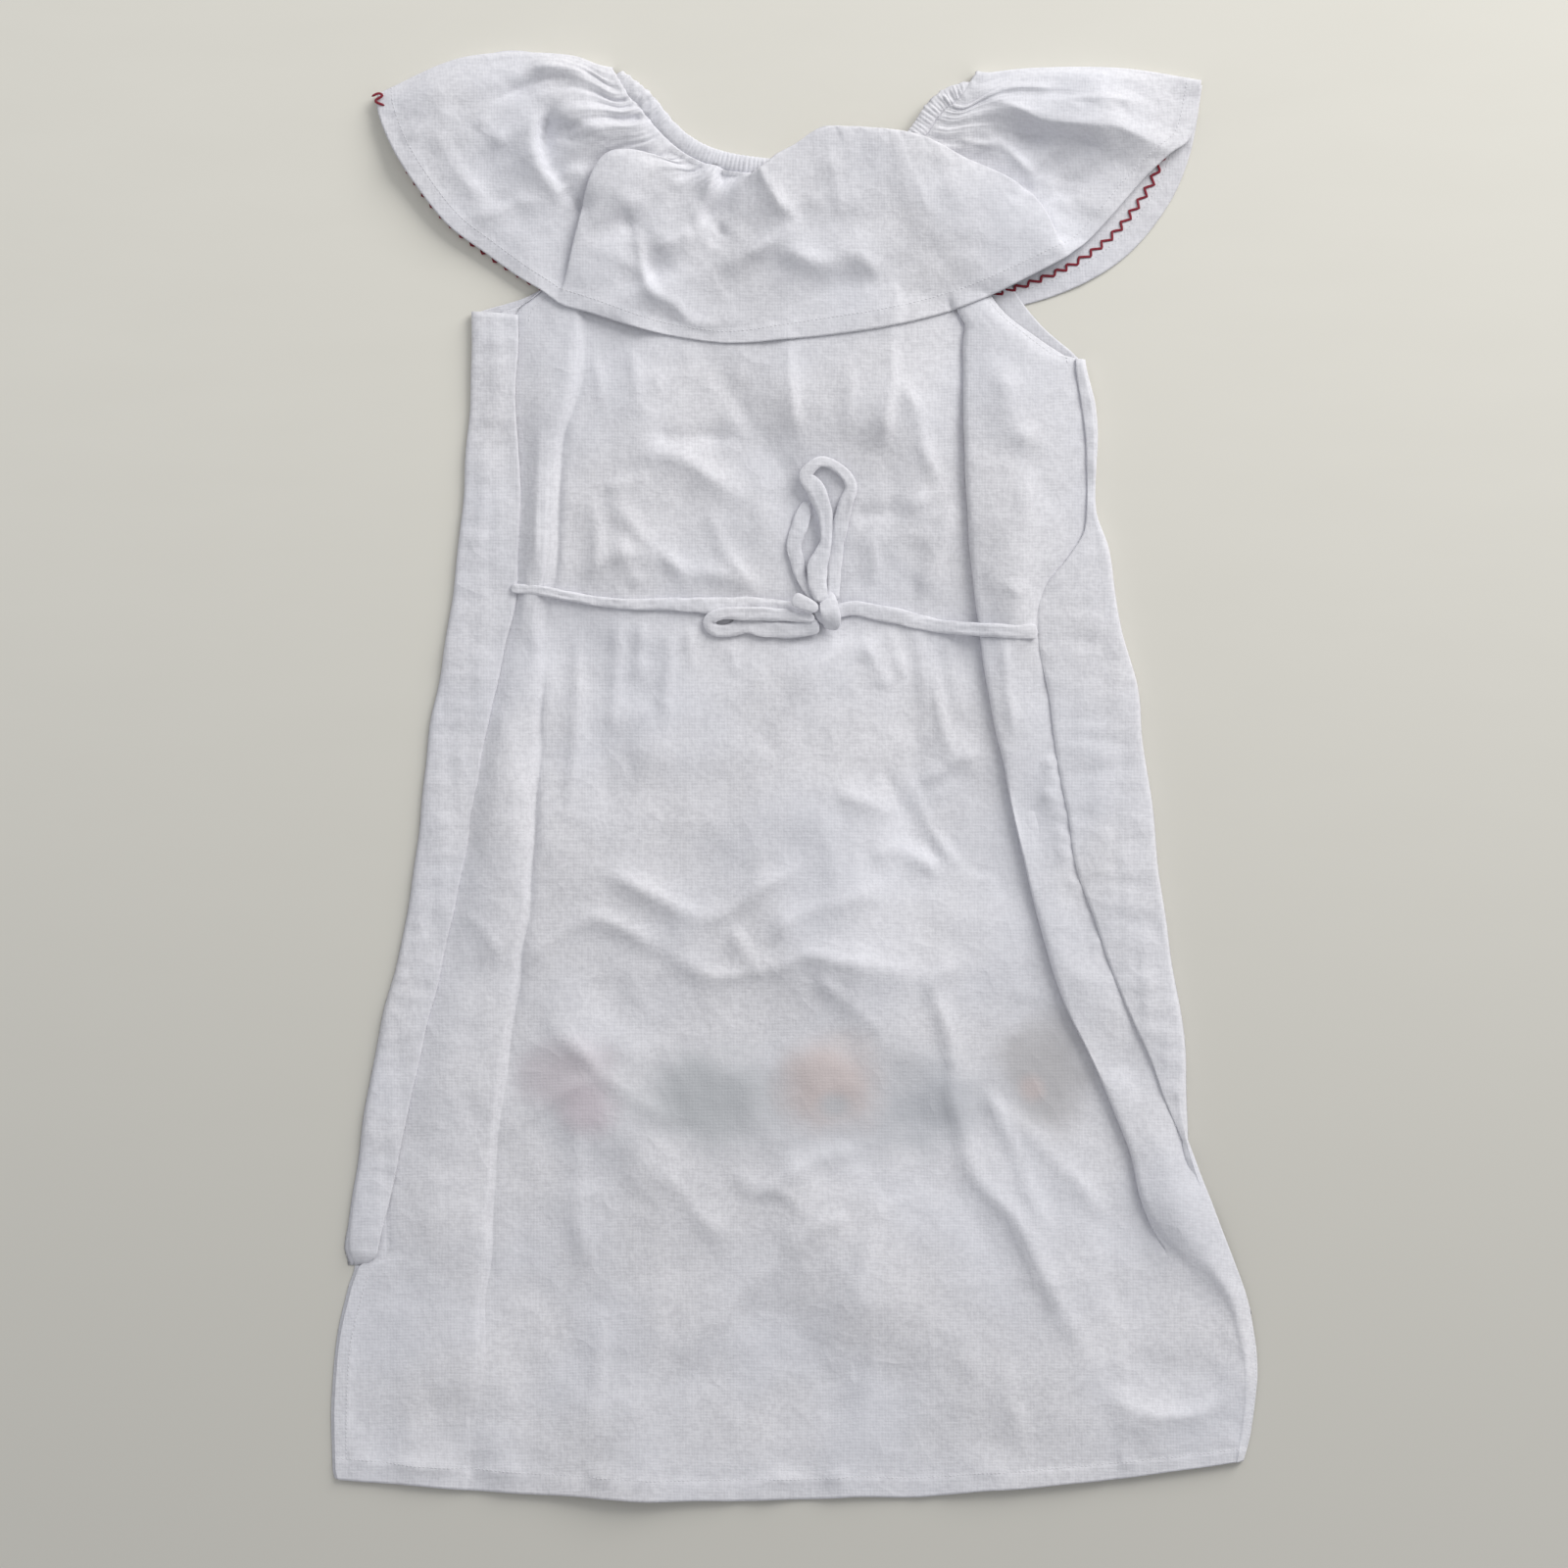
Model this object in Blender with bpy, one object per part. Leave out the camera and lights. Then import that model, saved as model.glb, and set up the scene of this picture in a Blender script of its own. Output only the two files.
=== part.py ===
"""Tunic dress of white cotton, laid flat on its front with the back up.

Row frame: +X to the right seen from above, +Y towards the neck, +Z up. The floor is z = 0 and the
origin is the middle of the laid outline. Tables and functions work in millimetres, and metre() turns
a point into metres. A cloth wall is described by the middle of its cloth and thickened to both sides.
"""

import math

import bmesh
import bpy
from mathutils import Matrix, Vector
from mathutils.bvhtree import BVHTree

MM = 0.001

# Driving sizes
CLOTH = 1.0
GAP = 0.3
CLEAR = 0.9
FLOOR_LAYER = CLOTH / 2
LIFTED_LAYER = FLOOR_LAYER + CLOTH + GAP
BACK_LAYER = 2.0
YOKE_LAYER = 3.4
NECK_LAYER = 6.0
TUCK_STEP = 1.8
TUCK_WIDTH = 9.0
STEP_HEIGHT = 2.6
PLEAT_WIDTH = 14.0
PLEAT_HEIGHT = 4.8
RIGHT_LAYER = 4.2
EDGE_ROUND = 3.2
CASING_WIDTH = 12.0
CASING_THICK = 4.6
CASING_FRONT_Z = 2.7
CASING_BACK_Z = 7.9
PANEL_SEAM = CASING_WIDTH + 2.4
FLOUNCE_SEAM = CASING_WIDTH + 0.6
SHOULDER = 0.09
TIE_WIDTH = 10.0
TIE_THICK = 3.0
STRAP_SIDES = 8
KNOT_CENTRE = (21.0, 104.0)
KNOT_SIZE = (16.0, 15.0, 11.0)

# Crosswise rows of the body from hem to underarm, with the rows where the slits and tucks begin and end
BODY_ROWS = (-474, -452, -425, -395, -365, -337, -310, -270, -225, -180, -130, -80, -30, 20, 65,
             106, 145, 190, 235, 262, 285)
SLIT_ROW = -337
UNDERARM_ROW = 285
TUCK_OPENS = (-340, -250)
TUCK_CLOSES = (240, 285)
YOKE_SHARES = (0.12, 0.3, 0.5, 0.75, 1.0)

# Lengthwise lines of the laid body, from hem to underarm. Columns: y, x
LEFT_EDGE = ((-459, -303), (-394, -300), (-357, -295), (-321, -289), (-255, -282), (-173, -269),
             (-93, -250), (-36, -242), (32, -235), (77, -227), (121, -219), (166, -215),
             (212, -212), (246, -209), (301, -208))
LEFT_SEAM = ((-321, -276), (-300, -268), (-255, -259), (-173, -241), (-113, -227), (-62, -216),
             (7, -204), (75, -190), (108, -182), (147, -180), (185, -179), (246, -181), (301, -180))
LEFT_FOLD = ((-467, -212), (-398, -206), (-316, -201), (-225, -195), (-184, -188), (-83, -175),
             (-40, -170), (108, -163), (154, -155), (223, -150), (275, -141), (305, -138))
RIGHT_PLEAT = ((-474, 262), (-400, 268), (-339, 256), (-295, 232), (-241, 220), (-186, 196),
               (-138, 174), (-60, 152), (22, 135), (95, 122), (154, 116), (223, 113), (303, 111))
RIGHT_SEAM = ((-450, 287), (-400, 291), (-346, 290), (-282, 268), (-231, 248), (-173, 228),
              (-135, 212), (-103, 201), (-60, 187), (-26, 182), (19, 173), (57, 168), (95, 161),
              (120, 166), (140, 180), (161, 190), (204, 190), (265, 184))
RIGHT_EDGE = ((-441, 303), (-367, 303), (-349, 299), (-321, 290), (-282, 278), (-231, 261),
              (-173, 255), (-103, 244), (-26, 235), (19, 228), (57, 225), (95, 214), (147, 206),
              (172, 199), (236, 198), (268, 192))

# How each crosswise row leans and sags. Columns: row, rise from right to left, sag at the middle
ROW_LEAN = ((-474, -11, 20), (-400, 16, 6), (-337, 32, 0), (285, 32, 0))

# Distance from the back panel's side edge in to the outline, below the slits. Columns: row, right
SLIT_SHOWS = ((-474, 16), (-400, 6))

# Height of the cloth between the two long folds. Columns: row, at a quarter, half and three quarters
BACK_PUFF = ((-474, 0.3, 0.6, 0.3), (-400, 1.0, 1.8, 1.6), (-300, 1.6, 3.0, 2.6), (-200, 2.2, 4.0, 3.0),
             (-100, 3.4, 4.6, 3.8), (0, 2.0, 3.6, 2.6), (85, 1.2, 2.0, 1.6), (106, 0.8, 1.2, 1.2),
             (170, 2.6, 3.6, 3.2), (230, 2.4, 2.4, 4.4), (285, 1.4, 1.6, 2.4))
PUFF_SHARES = (0.12, 0.25, 0.38, 0.5, 0.62, 0.75, 0.88)

# Armhole edges. Columns: share of the way up from underarm to neckline, x, y
BACK_ARMHOLE_LEFT = ((0.0, -180, 302), (0.15, -165, 313), (0.4, -149, 332), (0.7, -131, 368), (1.0, -114, 404))
BACK_ARMHOLE_RIGHT = ((0.0, 184, 268), (0.15, 162, 282), (0.4, 134, 305), (0.7, 115, 345), (1.0, 107, 392))
FRONT_ARMHOLE_LEFT = ((0.0, -205, 301), (0.15, -172, 311), (0.4, -152, 328), (0.7, -134, 362), (1.0, -116, 400))
FRONT_ARMHOLE_RIGHT = ((0.0, 189, 270), (0.15, 164, 291), (0.4, 144, 317), (0.7, 124, 355), (1.0, 111, 396))

# Upper edge of the neckline from the left shoulder round to the right. Columns: x, y
NECKLINE = ((-108, 456), (-92, 443), (-79, 427), (-63, 413), (-44, 405), (-21, 401), (4, 400),
            (30, 400), (52, 403), (68, 411), (79, 423), (88, 436), (100, 446), (113, 450))

# Back flounce, a section for each row. Columns: share of the neckline, then x, y and z of a point
# near the casing, of one half way down and of the hem. A section that runs back makes a deep fold.
BACK_FLOUNCE = (
    (-0.03, (-155, 474, 7.0), (-215, 464, 6.5), (-270, 441, 4.0)),
    (0.020, (-151, 461, 14.0), (-211, 450, 11.5), (-269, 429, 7.0)),
    (0.050, (-148, 446, 12.0), (-204, 432, 10.5), (-260, 407, 8.0)),
    (0.085, (-143, 432, 9.0), (-193, 412, 9.5), (-245, 383, 8.0)),
    (0.120, (-137, 419, 9.0), (-180, 392, 9.0), (-224, 357, 7.0)),
    (0.155, (-130, 407, 6.5), (-164, 373, 7.0), (-200, 339, 5.5)),
    (0.185, (-120, 397, 6.5), (-149, 357, 6.0), (-179, 324, 4.6)),
    (0.205, (-104, 390, 7.0), (-131, 346, 6.5), (-164, 315, 4.4)),
    (0.220, (-103, 391, 10.0), (-130, 347, 9.5), (-156, 309, 5.6)),
    (0.240, (-121, 402, 13.5), (-140, 352, 12.5), (-148, 304, 7.4)),
    (0.265, (-108, 396, 16.5), (-124, 342, 14.5), (-130, 299, 8.2)),
    (0.310, (-76, 376, 16.0), (-86, 328, 13.5), (-94, 288, 8.4)),
    (0.365, (-44, 378, 15.0), (-48, 322, 12.0), (-54, 281, 7.4)),
    (0.405, (-24, 392, 16.5), (-26, 330, 13.0), (-30, 280, 7.4)),
    (0.445, (-4, 406, 17.5), (-4, 340, 14.5), (-4, 282, 7.4)),
    (0.490, (16, 417, 18.0), (20, 350, 16.5), (26, 285, 7.6)),
    (0.545, (38, 421, 18.0), (50, 352, 16.5), (62, 290, 8.8)),
    (0.600, (62, 420, 18.0), (82, 356, 16.5), (98, 299, 8.8)),
    (0.660, (88, 412, 17.0), (114, 366, 15.5), (130, 311, 8.4)),
    (0.715, (114, 397, 14.0), (158, 373, 12.5), (172, 332, 7.2)),
    (0.745, (104, 393, 10.0), (147, 366, 9.5), (184, 340, 5.6)),
    (0.765, (108, 394, 7.0), (151, 367, 6.5), (194, 348, 4.2)),
    (0.800, (124, 404, 6.5), (172, 384, 4.6), (209, 364, 4.0)),
    (0.840, (136, 419, 9.0), (190, 403, 6.4), (229, 387, 4.6)),
    (0.880, (141, 431, 14.0), (199, 419, 12.6), (246, 403, 6.0)),
    (0.920, (146, 442, 11.5), (206, 435, 11.0), (259, 413, 5.0)),
    (0.965, (152, 452, 11.0), (212, 448, 8.5), (265, 432, 4.0)),
    (1.030, (158, 460, 7.0), (215, 458, 5.5), (267, 450, 3.0)),
)
FLOUNCE_STEPS = (0, 0.04, 0.1, 0.19, 0.3, 0.42, 0.55, 0.68, 0.84, 1)
LIP_OUT = 5.0

# Front flounce, lying on the floor. Columns: share of the neckline, middle x, middle y, hem x, hem y
FRONT_FLOUNCE = ((-0.03, -185, 472, -270, 439), (0.060, -180, 432, -250, 393), (0.130, -160, 402, -221, 353),
                 (0.200, -134, 370, -178, 319), (0.280, -100, 345, -136, 300), (0.370, -50, 335, -70, 288),
                 (0.470, -8, 333, -10, 285), (0.570, 36, 334, 50, 288), (0.660, 84, 346, 112, 298),
                 (0.740, 126, 364, 170, 311), (0.810, 156, 386, 214, 334), (0.880, 176, 412, 244, 368),
                 (0.940, 184, 436, 260, 404), (1.030, 187, 460, 268, 449))

# Routes of the ties and the bow. Columns: x, y, lift over the cloth below
TIES = {
    "waist_tie_left": (TIE_WIDTH, ((-179, 120, 0), (-159, 118, 0), (-133, 113, 0), (-108, 110, 0), (-76, 110, 0),
                                   (-44, 109, 0), (-16, 107, 0), (12.7, 104, 2))),
    "waist_tie_right": (TIE_WIDTH, ((29.3, 104, 2), (46, 106, 0), (70, 101, 0), (97, 96, 0), (129, 93, 0),
                                    (159, 92, 0))),
    "bow_loop_left": (9.0, ((13.5, 98, 4.4), (-6, 91, 1.5), (-30, 91, 0.5), (-46, 92, 0.5), (-54, 97, 1.5),
                            (-46, 105, 3.6), (-28, 107, 4.2), (-8, 108, 6.2), (13.5, 107, 8.2))),
    "bow_loop_up": (8.0, ((21, 111.6, 7), (18, 131, 4), (21, 146, 3.4), (22, 165, 3.4), (16, 183, 3.4),
                          (11, 193, 2.4), (20, 202, 1), (34, 197, 0), (38, 185, 0), (35, 168, 0),
                          (33, 150, 0), (31, 135, 0), (29, 112.5, 3))),
    "bow_end_long": (8.0, ((15, 113, 3), (6, 130, 0), (2.5, 144, 0), (3, 156, 0), (5.5, 166, 0), (7, 174, 0))),
    "bow_end_short": (7.0, ((16, 111, 11), (5, 115, 9.6), (-3, 119, 8.6))),
}
STRAP_RINGS = 18

WHITE = (0.86, 0.86, 0.89, 1.0)
ROUGHNESS = 0.9


def metre(x, y, z):
    """A point given in millimetres, in metres."""
    return Vector((x * MM, y * MM, z * MM))


def mix(a, b, share):
    return a + (b - a) * share


def ease(low, high, value):
    """0 below low, 1 above high, and smooth between them."""
    s = min(max((value - low) / (high - low), 0.0), 1.0)
    return s * s * (3 - 2 * s)


def read_table(table, t, column=1):
    """A column of a table, read smoothly at t, a value of the table's first column."""
    if t <= table[0][0]:
        return table[0][column]
    if t >= table[-1][0]:
        return table[-1][column]
    i = max(k for k in range(len(table) - 1) if table[k][0] <= t)
    t0, t1 = table[i][0], table[i + 1][0]
    v0, v1 = table[i][column], table[i + 1][column]
    before, after = table[max(i - 1, 0)], table[min(i + 2, len(table) - 1)]
    slope0 = (v1 - before[column]) / (t1 - before[0]) * (t1 - t0)
    slope1 = (after[column] - v0) / (after[0] - t0) * (t1 - t0)
    s = (t - t0) / (t1 - t0)
    return ((2 * s**3 - 3 * s**2 + 1) * v0 + (s**3 - 2 * s**2 + s) * slope0
            + (3 * s**2 - 2 * s**3) * v1 + (s**3 - s**2) * slope1)


def along_route(route, shares):
    """Points at shares of the length of a smooth line through a route."""
    dense = []
    last = len(route) - 1
    for i in range(last):
        near = (route[max(i - 1, 0)], route[i], route[i + 1], route[min(i + 2, last)])
        for k in range(12):
            s = k / 12
            dense.append(tuple(
                0.5 * (2 * b + (c - a) * s + (2 * a - 5 * b + 4 * c - d) * s**2 + (3 * b - a - 3 * c + d) * s**3)
                for a, b, c, d in zip(*near)))
    dense.append(tuple(float(v) for v in route[last]))
    lengths = [0.0]
    for p, q in zip(dense, dense[1:]):
        lengths.append(lengths[-1] + math.dist(p, q))
    found = []
    for share in shares:
        want = lengths[-1] * share
        i = max(j for j in range(len(dense) - 1) if lengths[j] <= want + 1e-9)
        part = (want - lengths[i]) / max(lengths[i + 1] - lengths[i], 1e-9)
        found.append(tuple(mix(a, b, part) for a, b in zip(dense[i], dense[i + 1])))
    return found


def even(count):
    return [k / (count - 1) for k in range(count)]


NECK_POINTS = [Vector(p) for p in along_route(NECKLINE, even(81))]
NECK_LENGTH = sum((q - p).length for p, q in zip(NECK_POINTS, NECK_POINTS[1:]))


def neck_point(share, offset):
    """Plan point at a share of the neckline, moved out of the neck opening by offset."""
    last = len(NECK_POINTS) - 1
    inside = min(max(share, 0.0), 1.0)
    i = min(int(inside * last), last - 1)
    along = (NECK_POINTS[min(i + 3, last)] - NECK_POINTS[max(i - 2, 0)]).normalized()
    on_line = NECK_POINTS[i].lerp(NECK_POINTS[i + 1], inside * last - i)
    past_end = along * (share - inside) * NECK_LENGTH
    return on_line + past_end + Vector((along.y, -along.x)) * offset


def row_ends(row):
    """Plan ends of a crosswise row: the laid outline at its left and right."""
    lean, sag = (read_table(ROW_LEAN, row, column) for column in (1, 2))
    y_left, y_right = row + lean / 2 + sag, row - lean / 2 + sag
    return (read_table(LEFT_EDGE, y_left), y_left), (read_table(RIGHT_EDGE, y_right), y_right)


def row_y(row, x):
    """Where a crosswise row passes at x."""
    lean, sag = (read_table(ROW_LEAN, row, column) for column in (1, 2))
    (x_left, _), (x_right, _) = row_ends(row)
    f = (x - x_left) / (x_right - x_left)
    return row + lean * (0.5 - f) + sag * (1 - 4 * f * (1 - f))


def line_x(line, row):
    """Where a lengthwise line crosses a row."""
    x = read_table(line, row)
    for _ in range(3):
        x = read_table(line, row_y(row, x))
    return x


def folded_share(row):
    """How far the seam tuck and the pleat are folded at a row, from 0 to 1."""
    return ease(*TUCK_OPENS, row) * (1 - ease(*TUCK_CLOSES, row))


def back_base(row):
    """Height of the back panel's lowest layer, which rises over the front flounce near the underarm."""
    return mix(BACK_LAYER, YOKE_LAYER, ease(190, 262, row))


def blend_points(flat, folded, share):
    return [tuple(mix(a, b, share) for a, b in zip(p, q)) for p, q in zip(flat, folded)]


def back_section(row):
    """The back panel across one row as x and z, from its tuck under the left seam to the right seam."""
    left, fold, pleat, right = (line_x(t, row) for t in (LEFT_SEAM, LEFT_FOLD, RIGHT_PLEAT, RIGHT_SEAM))
    low, folded = back_base(row), folded_share(row)
    if row < SLIT_ROW:
        left = row_ends(row)[0][0] + 6
        right = row_ends(row)[1][0] - read_table(SLIT_SHOWS, row)
    flat_edge = [(left + step, low) for step in (0, 3, 6, 9, 14)]
    tucked = [(left - 0.5, low + TUCK_STEP), (left - TUCK_WIDTH, low + TUCK_STEP),
              (left - TUCK_WIDTH - 1, low + TUCK_STEP / 2), (left - TUCK_WIDTH, low), (left + 2, low)]
    points = blend_points(flat_edge, tucked, folded)
    start, top = points[-1][0], low + STEP_HEIGHT * ease(-474, -300, row)
    points += [(mix(start, fold, 0.35), mix(low, top, 0.4)), (mix(start, fold, 0.7), mix(low, top, 0.9)),
               (fold - 3, top + 0.3), (fold, top), (fold + 1.2, low + 0.4), (fold + 8, low)]
    near, far = fold + 8, pleat - 8
    heights = [read_table(BACK_PUFF, row, column) for column in (1, 2, 3)]
    across = tuple(zip((0, 0.25, 0.5, 0.75, 1), (0, *heights, 0.2)))
    points += [(mix(near, far, share), low + read_table(across, share)) for share in PUFF_SHARES]
    shares = (0, 0.1, 0.4, 0.7, 0.9, 1, 1)
    open_pleat = [(pleat + step, low + share) for step, share in zip((-5, -3, -1.5, 0, 1.5, 3.5, 6), shares)]
    turn = pleat + PLEAT_WIDTH
    closed_pleat = [(pleat - 4, low), (turn, low), (turn + 1, low + PLEAT_HEIGHT * 0.25),
                    (turn, low + PLEAT_HEIGHT * 0.5), (pleat + 1, low + PLEAT_HEIGHT * 0.55),
                    (pleat, low + PLEAT_HEIGHT * 0.8), (pleat + 3, low + PLEAT_HEIGHT)]
    points += blend_points(open_pleat, closed_pleat, folded)
    last, upper = points[-1]
    end_z = mix(low + 0.2, BACK_LAYER + RIGHT_LAYER, ease(SLIT_ROW - 60, SLIT_ROW, row))
    return points + [(mix(last, right, 0.5), max(upper, end_z)), (right - 0.5, end_z)]


def front_section(row):
    """The front panel across one row as x and z, wrapped up and over both sides of the back panel."""
    (left, _), (right, _) = row_ends(row)
    seam_left, seam_right = line_x(LEFT_SEAM, row), line_x(RIGHT_SEAM, row)
    floor = mix(FLOOR_LAYER, LIFTED_LAYER, ease(235, 262, row))
    top_left = back_base(row) + TUCK_STEP + CLOTH + GAP
    top_right = BACK_LAYER + RIGHT_LAYER
    inset = EDGE_ROUND * ease(SLIT_ROW - 28, SLIT_ROW, row)
    sides = []
    for seam, edge, inward, top in ((seam_left, left, 1, top_left), (seam_right, right, -1, top_right)):
        sides.append([(seam, top), (mix(seam, edge, 0.33), top + 0.6), (mix(seam, edge, 0.62), top + 0.5),
                      (edge + EDGE_ROUND * inward, top), (edge + 0.7 * inward, mix(floor, top, 0.8)),
                      (edge, mix(floor, top, 0.5)), (edge + 0.7 * inward, mix(floor, top, 0.2)),
                      (edge + inset * inward, floor)])
    flat = [(mix(left, right, share), floor) for share in (0.1, 0.22, 0.36, 0.5, 0.64, 0.78, 0.9)]
    return sides[0] + flat + sides[1][::-1]


SIDE_POINTS = 7


def yoke_row(share, left_table, right_table, below, low, high):
    """A row between the underarm row, below, and the neckline. It starts and ends on the armholes."""
    ends = [neck_point(s, PANEL_SEAM) for s in (SHOULDER, 1 - SHOULDER)]
    left, right = (
        [mix(read_table(table, share, column), end[column - 1], ease(0.7, 1.0, share)) for column in (1, 2)]
        for table, end in zip((left_table, right_table), ends))
    first, last = below[0].x, below[-1].x
    points = []
    for index, p in enumerate(below):
        f = mix((p.x - first) / (last - first), index / (len(below) - 1), share)
        neck = neck_point(mix(SHOULDER, 1 - SHOULDER, f), PANEL_SEAM)
        bow = share**1.4 * (neck - ends[0].lerp(ends[1], f))
        z = mix(max(p.z / MM, low), high, ease(0.3, 1.0, share))
        points.append(metre(mix(left[0], right[0], f) + bow.x, mix(left[1], right[1], f) + bow.y, z))
    return points


def add_object(name, bm):
    """An object with its own cotton material, from a bmesh in metres."""
    material = bpy.data.materials.new(name + "_cotton")
    material.use_nodes = True
    shader = material.node_tree.nodes["Principled BSDF"]
    shader.inputs["Base Color"].default_value = WHITE
    shader.inputs["Roughness"].default_value = ROUGHNESS
    shader.inputs["Metallic"].default_value = 0.0
    mesh = bpy.data.meshes.new(name)
    bm.to_mesh(mesh)
    bm.free()
    mesh.materials.append(material)
    mesh.shade_smooth()
    mesh.set_sharp_from_angle(angle=math.radians(50))
    obj = bpy.data.objects.new(name, mesh)
    bpy.context.scene.collection.objects.link(obj)
    return obj


def wall(name, rows, kept=None):
    """A cloth wall: a grid bent through rows of points, less the faces that kept refuses, thickened."""
    across, up = len(rows[0]), len(rows)
    bm = bmesh.new()
    bmesh.ops.create_grid(bm, x_segments=across - 1, y_segments=up - 1, size=1)
    for index, vert in enumerate(bm.verts):
        vert.co = rows[index // across][index % across]
    if kept:
        unwanted = [face for index, face in enumerate(bm.faces) if not kept(index // (across - 1), index % (across - 1))]
        bmesh.ops.delete(bm, geom=unwanted, context="FACES")
    surface = BVHTree.FromBMesh(bm)
    obj = add_object(name, bm)
    thicken = obj.modifiers.new("cloth thickness", "SOLIDIFY")
    thicken.thickness = CLOTH * MM
    thicken.offset = 0.0
    return surface


def rest_height(surfaces, x, y, reach):
    """The highest middle of cloth within reach of a plan point, or the floor layer."""
    found = [FLOOR_LAYER]
    around = [(0, 0)] + [(reach * math.cos(a), reach * math.sin(a)) for a in (math.tau * k / 8 for k in range(8))]
    for dx, dy in around:
        for surface in surfaces:
            hit = surface.ray_cast(metre(x + dx, y + dy, 100), Vector((0, 0, -1)))[0]
            if hit:
                found.append(hit.z / MM)
    return max(found)


def place_ring(verts, centre, across, upward, width, thick):
    """Put a ring of verts on an oval section round centre, given in millimetres."""
    for k, vert in enumerate(verts):
        angle = math.tau * (k + 0.5) / len(verts)
        vert.co = (centre + across * math.cos(angle) * width / 2 + upward * math.sin(angle) * thick / 2) * MM


def strap(name, width, line):
    """A flat fabric tube with closed ends along a line of x, y, z points: one section, extruded along it."""
    bm = bmesh.new()
    ring = bmesh.ops.create_circle(bm, cap_ends=True, segments=STRAP_SIDES, radius=1)["verts"]
    end = bm.faces[:][0]
    for i, point in enumerate(line):
        along = Vector(line[min(i + 1, len(line) - 1)]) - Vector(line[max(i - 1, 0)])
        across = Vector((along.y, -along.x, 0)).normalized()
        if i:
            start, geometry = end, bmesh.ops.extrude_face_region(bm, geom=[end])["geom"]
            end = next(item for item in geometry if isinstance(item, bmesh.types.BMFace))
            ring = end.verts[:]
            if i > 1:
                bmesh.ops.delete(bm, geom=[start], context="FACES_ONLY")
        place_ring(ring, Vector(point), across, across.cross(along).normalized(), width, TIE_THICK)
    bm.normal_update()
    bmesh.ops.recalc_face_normals(bm, faces=bm.faces)
    add_object(name, bm)


def build_front_flounce():
    rows = []
    for share, x, y, hem_x, hem_y in FRONT_FLOUNCE:
        route = (tuple(neck_point(share, FLOUNCE_SEAM)), (x, y), (hem_x, hem_y))
        rows.append([metre(*p, FLOOR_LAYER) for p in along_route(route, even(6))])
    return wall("flounce_front", rows)


def build_front_panel():
    """One wall that lies on the floor, and below the underarm turns up and over both sides to the seams."""
    rows = [[metre(x, row_y(row, x), z) for x, z in front_section(row)] for row in BODY_ROWS]
    first, last = SIDE_POINTS, len(rows[0]) - 1 - SIDE_POINTS
    slit, underarm = BODY_ROWS.index(SLIT_ROW), BODY_ROWS.index(UNDERARM_ROW)
    below = rows[-1][first:last + 1]
    for share in YOKE_SHARES:
        inner = yoke_row(share, FRONT_ARMHOLE_LEFT, FRONT_ARMHOLE_RIGHT, below, LIFTED_LAYER, LIFTED_LAYER)
        rows.append([inner[0]] * first + inner + [inner[-1]] * SIDE_POINTS)
    return wall("front_panel", rows, lambda r, c: first <= c < last or slit <= r < underarm)


def build_back_panel():
    rows = [[metre(x, row_y(row, x), z) for x, z in back_section(row)] for row in BODY_ROWS]
    below = rows[-1]
    rows += [yoke_row(s, BACK_ARMHOLE_LEFT, BACK_ARMHOLE_RIGHT, below, YOKE_LAYER, NECK_LAYER) for s in YOKE_SHARES]
    return wall("back_panel", rows)


def build_casing():
    """The elastic casing, one closed ring: a spun tube whose turns are laid along the neckline and back.

    The back run lies over the front run, and a half turn at each shoulder joins them.
    """
    run = [s / 26 for s in range(27)]
    middle, half = (CASING_BACK_Z + CASING_FRONT_Z) / 2, (CASING_BACK_Z - CASING_FRONT_Z) / 2
    turn = [math.pi / 2 - math.pi * k / 4 for k in (1, 2, 3)]
    stations = [(share, CASING_BACK_Z, 0.0) for share in run]
    stations += [(1.0, middle + half * math.sin(a), half * math.cos(a)) for a in turn]
    stations += [(share, CASING_FRONT_Z, 0.0) for share in reversed(run)]
    stations += [(0.0, middle - half * math.sin(a), -half * math.cos(a)) for a in turn]
    centres, sides = [], []
    for share, z, past in stations:
        inner, outer = neck_point(share, 0), neck_point(share, CASING_WIDTH)
        side = (outer - inner).normalized()
        centre = (inner + outer) / 2 + Vector((-side.y, side.x)) * past
        centres.append(Vector((*centre, z)))
        sides.append(Vector((*side, 0)))
    bm = bmesh.new()
    ring = bmesh.ops.create_circle(bm, segments=STRAP_SIDES, radius=1)["verts"]
    bmesh.ops.rotate(bm, verts=ring, cent=(0, 0, 0), matrix=Matrix.Rotation(math.pi / 2, 3, "X"))
    bmesh.ops.translate(bm, verts=ring, vec=(4, 0, 0))
    bmesh.ops.spin(bm, geom=bm.verts[:] + bm.edges[:], cent=(0, 0, 0), axis=(0, 0, 1), angle=math.tau,
                   steps=len(stations), use_merge=True)
    turns = {}
    for vert in bm.verts:
        station = round(math.atan2(vert.co.y, vert.co.x) / math.tau * len(stations)) % len(stations)
        turns.setdefault(station, []).append(vert)
    for station, verts in turns.items():
        verts.sort(key=lambda v: math.atan2(v.co.z, math.hypot(v.co.x, v.co.y) - 4))
        along = centres[(station + 1) % len(centres)] - centres[station - 1]
        upward = sides[station].cross(along).normalized()
        place_ring(verts, centres[station], sides[station], upward, CASING_WIDTH, CASING_THICK)
    bm.normal_update()
    bmesh.ops.recalc_face_normals(bm, faces=bm.faces)
    surface = BVHTree.FromBMesh(bm)
    add_object("neck_casing", bm)
    return surface


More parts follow.
